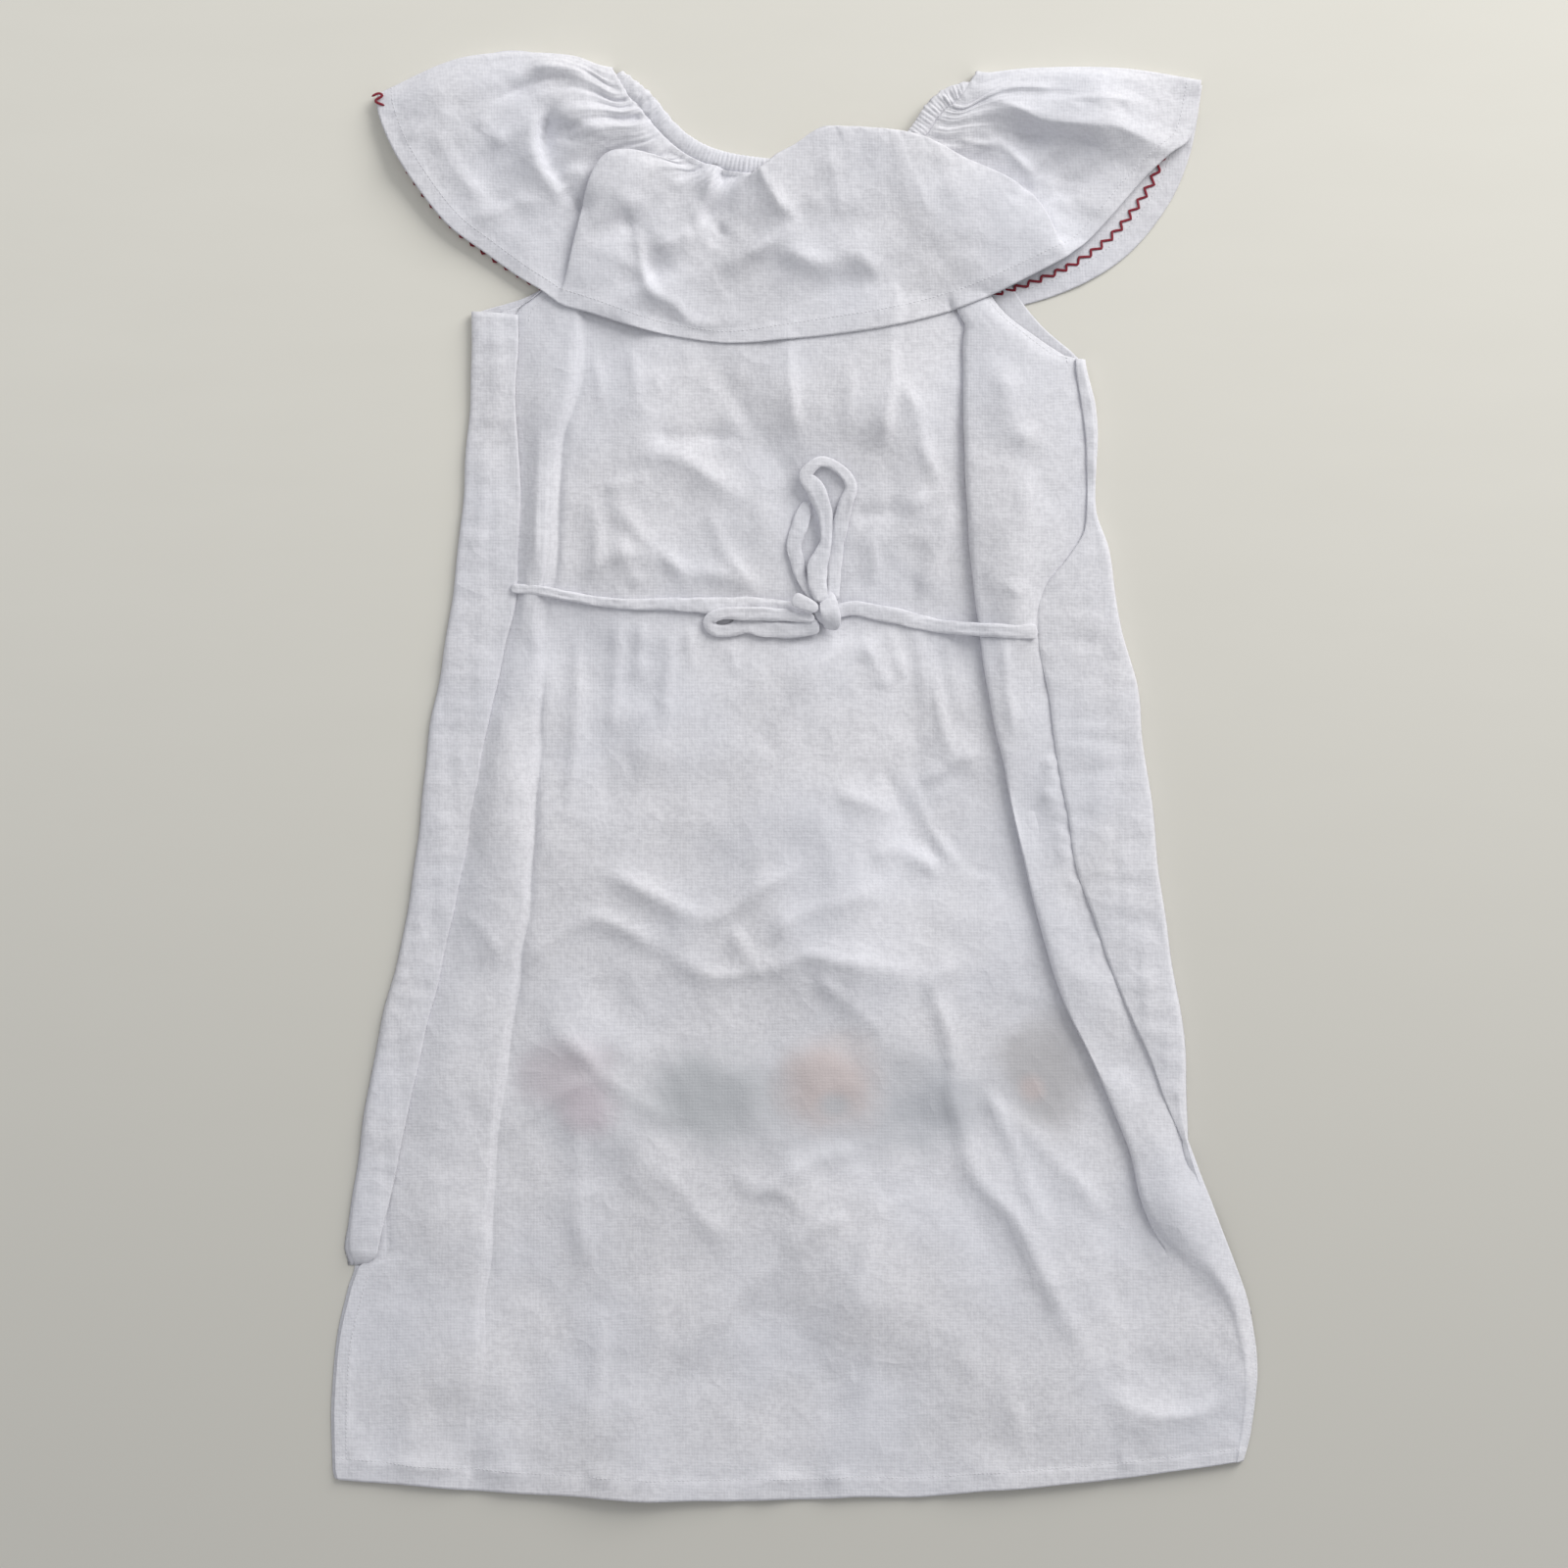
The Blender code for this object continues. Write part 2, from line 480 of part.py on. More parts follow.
def build_back_flounce(below):
    """The flounce over the back: sections from the casing to the hem, each resting clear of what is below."""
    rows = []
    for share, *points in BACK_FLOUNCE:
        start = (*neck_point(share, FLOUNCE_SEAM), CASING_BACK_Z + GAP)
        lip = (*neck_point(share, CASING_WIDTH + LIP_OUT), CASING_BACK_Z + CASING_THICK / 2 + CLOTH)
        row = along_route((start, lip, *points), FLOUNCE_STEPS)
        lifted = [row[0]]
        for x, y, z in row[1:]:
            lifted.append((x, y, max(z, rest_height(below, x, y, reach=5) + CLOTH + CLEAR)))
        rows.append([metre(*p) for p in lifted])
    return wall("flounce_back", rows)


def build_ties(below):
    lowest = CLOTH / 2 + CLEAR + TIE_THICK / 2
    for name, (width, route) in TIES.items():
        lifted = [(x, y, rest_height(below, x, y, reach=width / 2) + lowest + lift) for x, y, lift in route]
        strap(name, width, along_route(lifted, even(STRAP_RINGS)))


def build_knot(below):
    x, y = KNOT_CENTRE
    bm = bmesh.new()
    bmesh.ops.create_icosphere(bm, subdivisions=2, radius=0.5)
    bmesh.ops.scale(bm, vec=Vector(KNOT_SIZE) * MM, verts=bm.verts)
    height = rest_height(below, x, y, reach=6) + CLOTH / 2 + GAP + KNOT_SIZE[2] / 2
    bmesh.ops.translate(bm, vec=metre(x, y, height), verts=bm.verts)
    add_object("bow_knot", bm)


def main():
    for obj in list(bpy.data.objects):
        bpy.data.objects.remove(obj)
    build_front_flounce()
    front = build_front_panel()
    back = build_back_panel()
    casing = build_casing()
    build_back_flounce((front, back, casing))
    build_ties((back,))
    build_knot((back,))


main()
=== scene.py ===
# %% [markdown]
# A tunic dress of white cotton, laid flat on a board with its back up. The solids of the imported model
# say where each piece lies. This script gives each piece its cloth: thin, crumpled, gathered on an
# elastic casing at the neck, and tied with a bow at the back of the waist.

# %% Load the frame
import math

import bmesh
import bpy
import numpy as np
from mathutils import Matrix, Vector, noise
from mathutils.bvhtree import BVHTree


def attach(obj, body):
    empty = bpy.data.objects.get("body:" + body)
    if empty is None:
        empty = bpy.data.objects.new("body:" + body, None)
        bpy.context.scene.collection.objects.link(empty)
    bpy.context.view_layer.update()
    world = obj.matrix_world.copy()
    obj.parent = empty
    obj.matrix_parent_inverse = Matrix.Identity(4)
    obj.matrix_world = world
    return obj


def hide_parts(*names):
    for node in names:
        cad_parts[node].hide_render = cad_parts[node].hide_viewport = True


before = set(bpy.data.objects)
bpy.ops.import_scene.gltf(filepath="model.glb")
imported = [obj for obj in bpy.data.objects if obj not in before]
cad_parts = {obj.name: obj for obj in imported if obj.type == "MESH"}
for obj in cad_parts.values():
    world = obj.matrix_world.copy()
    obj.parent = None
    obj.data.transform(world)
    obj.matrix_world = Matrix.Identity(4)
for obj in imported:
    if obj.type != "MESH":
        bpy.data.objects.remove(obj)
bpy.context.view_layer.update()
print("nodes:", ", ".join(sorted(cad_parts)))

# %% [markdown]
# Sizes are in millimetres, as a maker would write them, and metre() turns a point into Blender's
# metres. The heights are those of the layers of cloth: each layer lies a little over the one below.

# %% Sizes
MM = 0.001
CLOTH = 0.45
FRONT_LAYER = 0.5
LIFTED_LAYER = 1.8
BACK_LAYER = 2.0
YOKE_LAYER = 3.4
NECK_LAYER = 6.0
TUCK_STEP = 1.8
TUCK_WIDTH = 9.0
STEP_HEIGHT = 2.6
PLEAT_WIDTH = 14.0
PLEAT_HEIGHT = 6.6
RIGHT_LAYER = 5.6
EDGE_ROUND = 3.2
CASING_WIDTH = 12.0
CASING_THICK = 4.6
CASING_FRONT_Z = 2.7
CASING_BACK_Z = 7.9
PANEL_SEAM = CASING_WIDTH + 2.4
FLOUNCE_SEAM = CASING_WIDTH + 0.6
SHOULDER = 0.09
LIP_OUT = 5.0
HEM_BAND = 13.5
HEM_TURN = 0.45
HEM_STEPS = 7
HEM_ROW, SLIT_ROW, UNDERARM_ROW = -474, -337, 285
# Rows over which the rolled sides run out into the slits
LEFT_BLEND = (SLIT_ROW - 2, SLIT_ROW + 8)
RIGHT_BLEND = (SLIT_ROW + 50, SLIT_ROW + 110)
KNOT_CENTRE = (22.0, 104.0)

# %% [markdown]
# The camera looks straight down, as in the photo. One pixel of its 1600-pixel frame is 0.64 mm on the
# board, so the frame is 1.024 m wide. The camera stands high, which keeps the sides of the dress square.

# %% Camera
FRAME_WIDTH = 1.024
PICTURE_CENTRE = (-0.005, -0.007)
CAMERA_HEIGHT = 2.2

camera = bpy.data.objects.new("camera", bpy.data.cameras.new("camera"))
bpy.context.scene.collection.objects.link(camera)
camera.location = (*PICTURE_CENTRE, CAMERA_HEIGHT)
camera.data.sensor_width = 36.0
camera.data.lens = camera.data.sensor_width * CAMERA_HEIGHT / FRAME_WIDTH
bpy.context.scene.camera = camera
print("lens", round(camera.data.lens, 1), "mm")

# %% [markdown]
# The outline and the long folds are lines from the hem to the underarm. Each is a short table of
# places that were read off, and a smooth curve runs between them.

# %% Lengthwise lines of the laid body. Columns: y, x
LEFT_EDGE = ((-468, -290), (-462, -297), (-452, -300), (-394, -300), (-357, -295), (-335, -290),
             (-321, -285), (-308, -288), (-255, -282), (-173, -269),
             (-93, -250), (-36, -242), (32, -235), (77, -227), (121, -219), (166, -215),
             (212, -212), (246, -209), (301, -208))
LEFT_SEAM = ((-321, -273), (-300, -269), (-255, -259), (-173, -241), (-113, -227), (-62, -216),
             (7, -204), (75, -190), (108, -182), (147, -180), (185, -179), (246, -181), (301, -180))
LEFT_FOLD = ((-467, -212), (-398, -206), (-316, -201), (-225, -195), (-184, -188), (-83, -175),
             (-40, -170), (108, -163), (154, -155), (223, -150), (275, -141), (305, -138))
RIGHT_PLEAT = ((-474, 262), (-400, 268), (-339, 256), (-295, 232), (-241, 220), (-186, 196),
               (-138, 174), (-60, 152), (22, 135), (95, 122), (154, 116), (223, 113), (303, 111))
RIGHT_SEAM = ((-450, 287), (-400, 294), (-346, 295), (-282, 273), (-231, 252), (-173, 229),
              (-135, 212), (-103, 201), (-60, 187), (-26, 182), (19, 173), (57, 168), (95, 161),
              (120, 166), (140, 181), (161, 193), (204, 193), (265, 187))
RIGHT_EDGE = ((-462, 292), (-447, 298), (-430, 301), (-385, 302), (-358, 299), (-331, 292),
              (-285, 274), (-250, 259), (-231, 257),
              (-173, 255), (-103, 244), (-26, 235), (19, 228), (57, 225), (95, 214), (147, 206),
              (172, 199), (236, 198), (268, 192))

# %% Rows. Columns: row, rise from right to left, sag at the middle
ROW_LEAN = ((-474, -11, 20), (-400, 16, 6), (-337, 32, 0), (285, 32, 0))
# How much of the front panel the right slit shows. Columns: row, width
SLIT_SHOWS = ((-474, 5), (-430, 3), (-390, 1.5))

# %% Height of the cloth between the two long folds. Columns: row, at a quarter, half, three quarters
BACK_PUFF = ((-474, 0.3, 0.6, 0.3), (-400, 1.0, 1.8, 1.6), (-300, 1.6, 3.0, 2.6), (-200, 2.2, 4.0, 3.0),
             (-100, 3.4, 4.6, 3.8), (0, 2.0, 3.6, 2.6), (85, 1.2, 2.0, 1.6), (106, 0.8, 1.2, 1.2),
             (170, 2.6, 3.6, 3.2), (230, 2.4, 2.4, 4.4), (285, 1.4, 1.6, 2.4))
PUFF_SHARES = (0.12, 0.25, 0.38, 0.5, 0.62, 0.75, 0.88)

# %% The right pleat where it lies open, near the hem. Columns: distance from its line, height
OPEN_PLEAT = ((-45, 0), (-32, 0.1), (-19, 0.4), (-6, 0.7), (6, 0.9), (16, 1), (25, 1))

# %% Armhole edges. Columns: share of the way up from underarm to neckline, x, y
BACK_ARMHOLE_LEFT = ((0.0, -180, 302), (0.15, -165, 313), (0.4, -149, 332), (0.7, -131, 368),
                     (1.0, -114, 404))
BACK_ARMHOLE_RIGHT = ((0.0, 184, 268), (0.15, 162, 282), (0.4, 134, 305), (0.7, 115, 345),
                      (1.0, 107, 392))
FRONT_ARMHOLE_LEFT = ((0.0, -205, 301), (0.15, -172, 311), (0.4, -152, 328), (0.7, -134, 362),
                      (1.0, -116, 400))
FRONT_ARMHOLE_RIGHT = ((0.0, 189, 270), (0.15, 164, 291), (0.4, 144, 317), (0.7, 124, 355),
                       (1.0, 111, 396))

# %% Upper edge of the neckline, from the left shoulder round to the right. Columns: x, y
NECKLINE = ((-108, 456), (-92, 443), (-79, 427), (-63, 413), (-44, 405), (-21, 401), (4, 400),
            (30, 400), (52, 403), (68, 411), (79, 423), (88, 436), (100, 446), (113, 450))

# %% [markdown]
# The flounce over the back is given by sections that run from the casing out to the hem. Where the
# sections run back on themselves, the cloth makes a deep fold, so the three lobes come from the table.

# %% Back flounce. Columns: share of the neckline, then x, y, z near the casing, half way and at the hem
BACK_FLOUNCE = (
    (-0.03, (-149, 467, 7.0), (-213, 465, 6.5), (-270, 441, 4.0)),
    (0.020, (-151, 461, 14.0), (-211, 450, 11.5), (-269, 429, 7.0)),
    (0.050, (-148, 446, 12.0), (-204, 432, 10.5), (-260, 407, 8.0)),
    (0.085, (-143, 432, 14.0), (-193, 412, 9.5), (-245, 383, 8.0)),
    (0.120, (-137, 419, 15.0), (-180, 392, 9.0), (-224, 357, 7.0)),
    (0.155, (-130, 407, 11.0), (-164, 373, 7.0), (-200, 339, 5.5)),
    (0.185, (-120, 397, 6.5), (-149, 357, 6.0), (-179, 324, 4.6)),
    (0.205, (-104, 390, 7.0), (-131, 346, 6.5), (-164, 315, 4.4)),
    (0.220, (-103, 391, 10.0), (-130, 347, 9.5), (-156, 309, 5.6)),
    (0.240, (-121, 402, 13.5), (-140, 352, 12.5), (-148, 304, 7.4)),
    (0.265, (-108, 396, 16.5), (-124, 342, 14.5), (-130, 299, 8.2)),
    (0.310, (-76, 376, 16.0), (-86, 328, 13.5), (-94, 288, 8.4)),
    (0.365, (-44, 378, 15.0), (-48, 322, 12.0), (-54, 281, 7.4)),
    (0.405, (-24, 392, 16.5), (-26, 330, 13.0), (-30, 280, 7.4)),
    (0.445, (-4, 406, 17.5), (-4, 340, 14.5), (-4, 282, 7.4)),
    (0.490, (16, 417, 18.0), (20, 350, 16.5), (26, 285, 7.6)),
    (0.545, (38, 421, 18.0), (50, 352, 16.5), (62, 290, 8.8)),
    (0.600, (62, 420, 18.0), (82, 356, 16.5), (98, 299, 8.8)),
    (0.660, (88, 412, 17.0), (114, 366, 15.5), (130, 311, 8.4)),
    (0.715, (114, 397, 14.0), (158, 373, 12.5), (172, 332, 7.2)),
    (0.745, (104, 393, 10.0), (147, 366, 9.5), (184, 340, 5.6)),
    (0.765, (108, 394, 7.0), (151, 367, 6.5), (194, 348, 4.2)),
    (0.800, (124, 404, 6.5), (172, 384, 3.4), (209, 364, 4.0)),
    (0.840, (136, 419, 9.0), (190, 403, 6.4), (229, 387, 4.6)),
    (0.880, (141, 431, 15.5), (199, 419, 14.5), (246, 403, 7.0)),
    (0.920, (146, 442, 11.5), (206, 435, 11.0), (259, 413, 5.0)),
    (0.965, (152, 452, 11.0), (212, 448, 8.5), (265, 432, 4.0)),
    (1.030, (157, 458, 7.0), (215, 458, 5.5), (267, 450, 3.0)),
)

# %% Front flounce, on the board. Columns: share of the neckline, middle x, middle y, hem x, hem y
FRONT_FLOUNCE = ((-0.03, -185, 472, -270, 439), (0.060, -180, 432, -250, 393),
                 (0.130, -160, 402, -220, 355.5), (0.200, -134, 370, -176, 324),
                 (0.280, -100, 345, -136, 304), (0.370, -50, 335, -70, 288),
                 (0.470, -8, 333, -10, 285), (0.570, 36, 334, 50, 288), (0.660, 84, 346, 112, 298),
                 (0.740, 126, 364, 170, 311), (0.810, 156, 386, 214, 334), (0.880, 176, 412, 244, 368),
                 (0.940, 184, 436, 260, 404), (1.030, 187, 460, 268, 449))

# %% [markdown]
# Creases are listed one by one. Each has its own height, how far it slopes away on the left and on the
# right of its run, and its route. Troughs have a negative height.

# %% Creases of the back panel. Columns: height, width on the left, width on the right, route as x, y
BODY_CREASES = (
    (5.0, 2.5, 20, ((65, 292), (66, 278), (65, 252), (62, 230), (61, 204))),
    (3.5, 3, 14, ((-3, 287), (-1, 262), (2, 236), (7, 214))),
    (2.0, 6, 6, ((-89, 266), (-85, 243))),
    (1.6, 5, 8, ((-64, 271), (-49, 245), (-28, 216))),
    (-3.0, 8, 8, ((-95, 219), (-61, 220), (-31, 219))),
    (3.5, 7, 10, ((-108, 216), (-92, 209), (-70, 203), (-40, 184), (-24, 179))),
    (2.2, 3, 6, ((-125, 184), (-108, 189), (-91, 193))),
    (3.0, 5, 12, ((-121, 186), (-98, 154), (-72, 132), (-45, 129), (-19, 116))),
    (2.5, 4, 9, ((-56, 175), (-40, 139), (-13, 113))),
    (2.5, 5, 8, ((-138, 126), (-120, 139), (-102, 143), (-83, 131))),
    (-2.5, 4, 5, ((38, 168), (59, 170), (73, 172))),
    (4.0, 3, 7, ((68, 259), (81, 235), (88, 207), (100, 184))),
    (2.6, 3, 7, ((102, 184), (84, 177), (72, 167))),
    (2.0, 6, 6, ((105, 188), (97, 147), (92, 111))),
    (3.0, 4, 9, ((134, 275), (140, 243), (148, 222), (166, 211))),
    (2.0, 4, 6, ((123, 126), (138, 122), (155, 115))),
    (1.8, 4, 5, ((145, 156), (152, 175), (150, 198))),
    (1.8, 4, 6, ((-108, 284), (-100, 252), (-104, 230))),
    (4.5, 7, 9, ((-133, -60), (-125, -64), (-108, -70), (-82, -83), (-63, -93), (-41, -91), (-17, -74),
                 (4, -62), (14, -51))),
    (3.5, 7, 7, ((-184, -129), (-153, -107), (-129, -95), (-104, -103), (-88, -113), (-69, -113))),
    (3.0, 6, 8, ((-88, -111), (-57, -129), (-41, -132), (8, -124))),
    (2.2, 4, 6, ((-41, -98), (-31, -115), (-19, -132))),
    (2.0, 4, 5, ((-220, -90), (-202, -101), (-188, -122))),
    (2.6, 4, 6, ((-163, -152), (-149, -172), (-132, -186), (-120, -206))),
    (4.0, 9, 11, ((44, 90), (19, 72), (1, 46), (-20, 20))),
    (3.0, 3, 7, ((46, 89), (60, 63), (67, 53))),
    (-2.5, 3, 4, ((56, 8), (72, -21), (80, -36), (104, -66))),
    (2.6, 6, 4, ((68, 9), (81, -15), (92, -39), (118, -73))),
    (2.5, 5, 7, ((24, -11), (46, -19), (73, -30))),
    (3.0, 7, 9, ((-20, -116), (3, -93), (33, -84), (67, -71))),
    (3.0, 6, 6, ((50, -60), (64, -50), (84, -56), (99, -71))),
    (2.6, 3, 6, ((90, 88), (94, 52), (104, 12), (115, 1))),
    (2.5, 5, 6, ((81, -11), (109, 9), (125, 12))),
    (2.0, 4, 4, ((109, -47), (125, -24))),
    (2.0, 4, 5, ((110, -66), (125, -70), (140, -68))),
    (4.5, 8, 12, ((-24, -137), (8, -119), (33, -122), (72, -129), (91, -132))),
    (2.5, 5, 8, ((12, -126), (33, -146), (64, -172))),
    (4.6, 12, 4, ((70, -125), (88, -132), (90, -141), (97, -156), (104, -186), (103, -210), (109, -230),
                  (117, -261), (142, -288), (170, -340), (199, -400))),
    (2.6, 4, 5, ((89, -144), (97, -132), (106, -116))),
    (2.2, 4, 6, ((-123, -194), (-143, -206), (-170, -223), (-194, -244))),
    (2.2, 4, 6, ((-129, -193), (-100, -212), (-76, -228))),
    (2.0, 5, 5, ((-145, -218), (-139, -255), (-139, -296), (-125, -340))),
    (1.7, 3, 5, ((-126, -337), (-127, -391), (-129, -454))),
    (3.2, 6, 14, ((10, -301), (-19, -326), (-67, -376), (-108, -426), (-118, -445))),
    (2.0, 5, 6, ((-87, -253), (-67, -279), (-42, -307))),
    (2.6, 5, 6, ((-40, -254), (-20, -271), (12, -255))),
    (1.7, 4, 4, ((-20, -271), (-2, -275), (10, -291))),
    (3.0, 5, 6, ((122, -194), (146, -245), (154, -269), (166, -303))),
    (3.0, 6, 6, ((134, -211), (161, -241), (189, -271), (211, -300))),
    (3.6, 20, 10, ((297, -366), (291, -392), (278, -409), (259, -418), (227, -416), (196, -400))),
    (2.6, 8, 10, ((94, -270), (62, -282), (50, -300), (40, -340), (14, -377))),
    (2.0, 5, 6, ((-8, -265), (15, -251), (46, -245))),
    (2.0, 6, 8, ((-8, -312), (12, -296), (42, -287))),
    (2.0, 4, 6, ((136, -373), (142, -400), (154, -455))),
)

# %% Gathers above and below the ties and under the flounce, with the same columns
GATHERS = (
    (2.0, 4, 4, ((-158, 103), (-161, 57), (-163, 6))),
    (2.6, 5, 5, ((-138, 107), (-140, 63), (-142, 12), (-146, -45))),
    (2.2, 4, 5, ((-115, 104), (-115, 63), (-119, 19))),
    (2.0, 4, 5, ((-98, 100), (-101, 57))),
    (2.2, 4, 5, ((-79, 99), (-81, 63), (-84, 25))),
    (1.6, 4, 4, ((-67, 99), (-65, 63))),
    (1.8, 4, 5, ((-40, 86), (-36, 63))),
    (2.0, 4, 5, ((62, 100), (68, 83), (75, 57))),
    (2.2, 4, 5, ((81, 99), (84, 70), (88, 31))),
    (2.0, 4, 5, ((102, 97), (105, 63), (113, 31))),
    (2.4, 4, 5, ((138, 94), (140, 63), (146, 19))),
    (2.0, 4, 4, ((-149, 121), (-152, 159), (-151, 204))),
    (2.4, 4, 5, ((-133, 118), (-127, 147), (-130, 185))),
    (1.8, 4, 4, ((-168, 124), (-166, 172), (-164, 230))),
    (2.0, 4, 5, ((-98, 118), (-108, 137), (-113, 156))),
    (1.8, 4, 4, ((-69, 117), (-76, 134), (-90, 147))),
    (2.0, 4, 5, ((49, 116), (54, 137), (50, 159))),
    (2.0, 4, 5, ((84, 113), (90, 140), (87, 163))),
    (1.8, 4, 5, ((-143, 294), (-146, 249), (-144, 204))),
    (1.8, 4, 5, ((-131, 295), (-128, 262), (-119, 230))),
    (1.8, 4, 5, ((33, 281), (38, 249), (33, 217))),
    (1.6, 4, 5, ((-69, 281), (-65, 255))),
    (1.6, 4, 5, ((-31, 280), (-36, 249))),
)

# %% Puckers across the cloth beside the right seam, with the same columns
PUCKERS = (
    (2.2, 2, 3, ((160, 8), (172, 5), (184, 4))), (2.0, 2, 3, ((164, -2), (176, -5), (188, -4))),
    (2.4, 2, 4, ((162, -13), (174, -17), (190, -19))), (2.2, 2, 3, ((166, -26), (180, -28), (194, -34))),
    (2.0, 2, 3, ((168, -37), (184, -44), (198, -46))), (2.4, 2, 4, ((172, -50), (188, -56), (200, -64))),
    (2.0, 2, 3, ((176, -66), (190, -74), (204, -77))), (2.0, 2, 3, ((186, -88), (198, -94), (212, -96))),
    (1.8, 2, 3, ((164, 24), (174, 20), (186, 22))), (1.8, 2, 3, ((192, -108), (206, -112), (218, -120))),
)

# %% Creases of the back flounce, with the same columns
FLOUNCE_CREASES = (
    (4.0, 4, 12, ((-157, 439), (-167, 424), (-167, 410), (-164, 395), (-154, 380), (-140, 362))),
    (-7.0, 22, 3, ((-154, 436), (-161, 421), (-161, 406), (-157, 392), (-147, 379))),
    (-3.0, 6, 6, ((-142, 423), (-146, 409))),
    (-3.0, 7, 7, ((-150, 380), (-140, 373), (-129, 363))),
    (-2.5, 4, 5, ((-202, 432), (-184, 442), (-163, 451), (-133, 452))),
    (2.5, 5, 5, ((-172, 458), (-152, 459), (-131, 454))),
    (2.0, 4, 6, ((-205, 428), (-196, 418), (-185, 406))),
    (2.0, 4, 5, ((-162, 387), (-143, 390), (-127, 391))),
    (2.6, 6, 9, ((-214, 361), (-197, 363), (-178, 371), (-162, 370))),
    (2.0, 7, 7, ((-256, 411), (-241, 417), (-231, 424), (-218, 434))),
    (2.0, 5, 5, ((-236, 422), (-216, 390), (-197, 367))),
    (-3.2, 4, 9, ((-50, 402), (-60, 393), (-69, 389), (-74, 381))),
    (4.0, 3, 10, ((-43, 402), (-50, 391), (-55, 376), (-62, 362), (-64, 354))),
    (-3.4, 12, 3, ((-38, 400), (-44, 390), (-48, 376), (-56, 361), (-58, 352))),
    (4.0, 10, 6, ((-22, 401), (-19, 387), (-12, 375), (-6, 366), (9, 360))),
    (4.2, 9, 12, ((9, 360), (-5, 349), (-19, 341), (-33, 333), (-45, 321))),
    (-2.4, 5, 5, ((-43, 357), (-53, 343))),
    (-6.0, 22, 24, ((-112, 370), (-96, 340), (-84, 312))),
    (2.2, 4, 6, ((-63, 350), (-79, 345), (-90, 337))),
    (3.2, 8, 4, ((-111, 380), (-100, 349), (-94, 316), (-76, 304), (-61, 292), (-24, 295))),
    (3.8, 9, 14, ((-14, 341), (2, 336), (24, 331), (38, 335), (50, 330), (62, 316))),
    (1.4, 14, 18, ((20, 404), (30, 383), (30, 356))),
    (1.4, 14, 18, ((70, 404), (82, 380), (96, 352))),
    (3.4, 12, 5, ((108, 441), (124, 440), (149, 430), (164, 423), (190, 420), (215, 418), (246, 404))),
    (-3.4, 3, 10, ((136, 418), (150, 416), (172, 415), (193, 411), (203, 402))),
    (3.0, 4, 5, ((107, 413), (127, 409), (137, 415))),
    (3.0, 3, 6, ((131, 415), (143, 405), (152, 395), (163, 385))),
    (-2.2, 4, 4, ((146, 382), (157, 381), (168, 383))),
    (-5.0, 20, 20, ((164, 402), (174, 390), (184, 374))),
    (2.2, 5, 6, ((113, 442), (142, 445), (180, 444))),
    (2.0, 5, 6, ((161, 436), (200, 438), (238, 435))),
)

# %% [markdown]
# These small functions read the tables. The first two mix and ease values, read_table() reads a table
# smoothly between its rows, and along_route() walks along a curve by its length.

# %% Reading the tables
def metre(x, y, z):
    return Vector((x * MM, y * MM, z * MM))


def mix(a, b, share):
    return a + (b - a) * share


def ease(low, high, value):
    """0 below low, 1 above high, and smooth between them."""
    s = np.clip((value - low) / (high - low), 0.0, 1.0)
    return s * s * (3 - 2 * s)


def read_table(table, t, column=1):
    """A column of a table, read smoothly at t, a value of the table's first column."""
    if t <= table[0][0]:
        return table[0][column]
    if t >= table[-1][0]:
        return table[-1][column]
    i = max(k for k in range(len(table) - 1) if table[k][0] <= t)
    t0, t1 = table[i][0], table[i + 1][0]
    v0, v1 = table[i][column], table[i + 1][column]
    before, after = table[max(i - 1, 0)], table[min(i + 2, len(table) - 1)]
    slope0 = (v1 - before[column]) / (t1 - before[0]) * (t1 - t0)
    slope1 = (after[column] - v0) / (after[0] - t0) * (t1 - t0)
    s = (t - t0) / (t1 - t0)
    return ((2 * s**3 - 3 * s**2 + 1) * v0 + (s**3 - 2 * s**2 + s) * slope0
            + (3 * s**2 - 2 * s**3) * v1 + (s**3 - s**2) * slope1)


# %% Smooth lines through few points
def spline_weights(counts):
    """Weights that turn len(counts) + 1 points into a smooth line with counts[i] steps in gap i."""
    last = len(counts)
    rows = []
    for gap, steps in enumerate(counts):
        near = (max(gap - 1, 0), gap, gap + 1, min(gap + 2, last))
        for k in range(steps):
            s = k / steps
            row = np.zeros(last + 1)
            for index, share in zip(near, (-s + 2 * s**2 - s**3, 2 - 5 * s**2 + 3 * s**3,
                                           s + 4 * s**2 - 3 * s**3, s**3 - s**2)):
                row[index] += share / 2
            rows.append(row)
    rows.append(np.eye(last + 1)[last])
    return np.array(rows)


def along_route(route, shares):
    """Points at shares of the length of a smooth line through a route."""
    route = np.array(route, float)
    dense = spline_weights([12] * (len(route) - 1)) @ route
    lengths = np.concatenate([[0], np.cumsum(np.linalg.norm(np.diff(dense[:, :3], axis=0), axis=1))])
    wanted = np.array(shares) * lengths[-1]
    return np.stack([np.interp(wanted, lengths, column) for column in dense.T], axis=1)


def even(count):
    return np.linspace(0, 1, count)


# %% The neckline as a curve
NECK_STEPS = 400
NECK_POINTS = along_route(NECKLINE, even(NECK_STEPS + 1))
NECK_LENGTH = float(np.linalg.norm(np.diff(NECK_POINTS, axis=0), axis=1).sum())
NECK_REACH = 12
print("neckline", round(NECK_LENGTH), "mm each way")


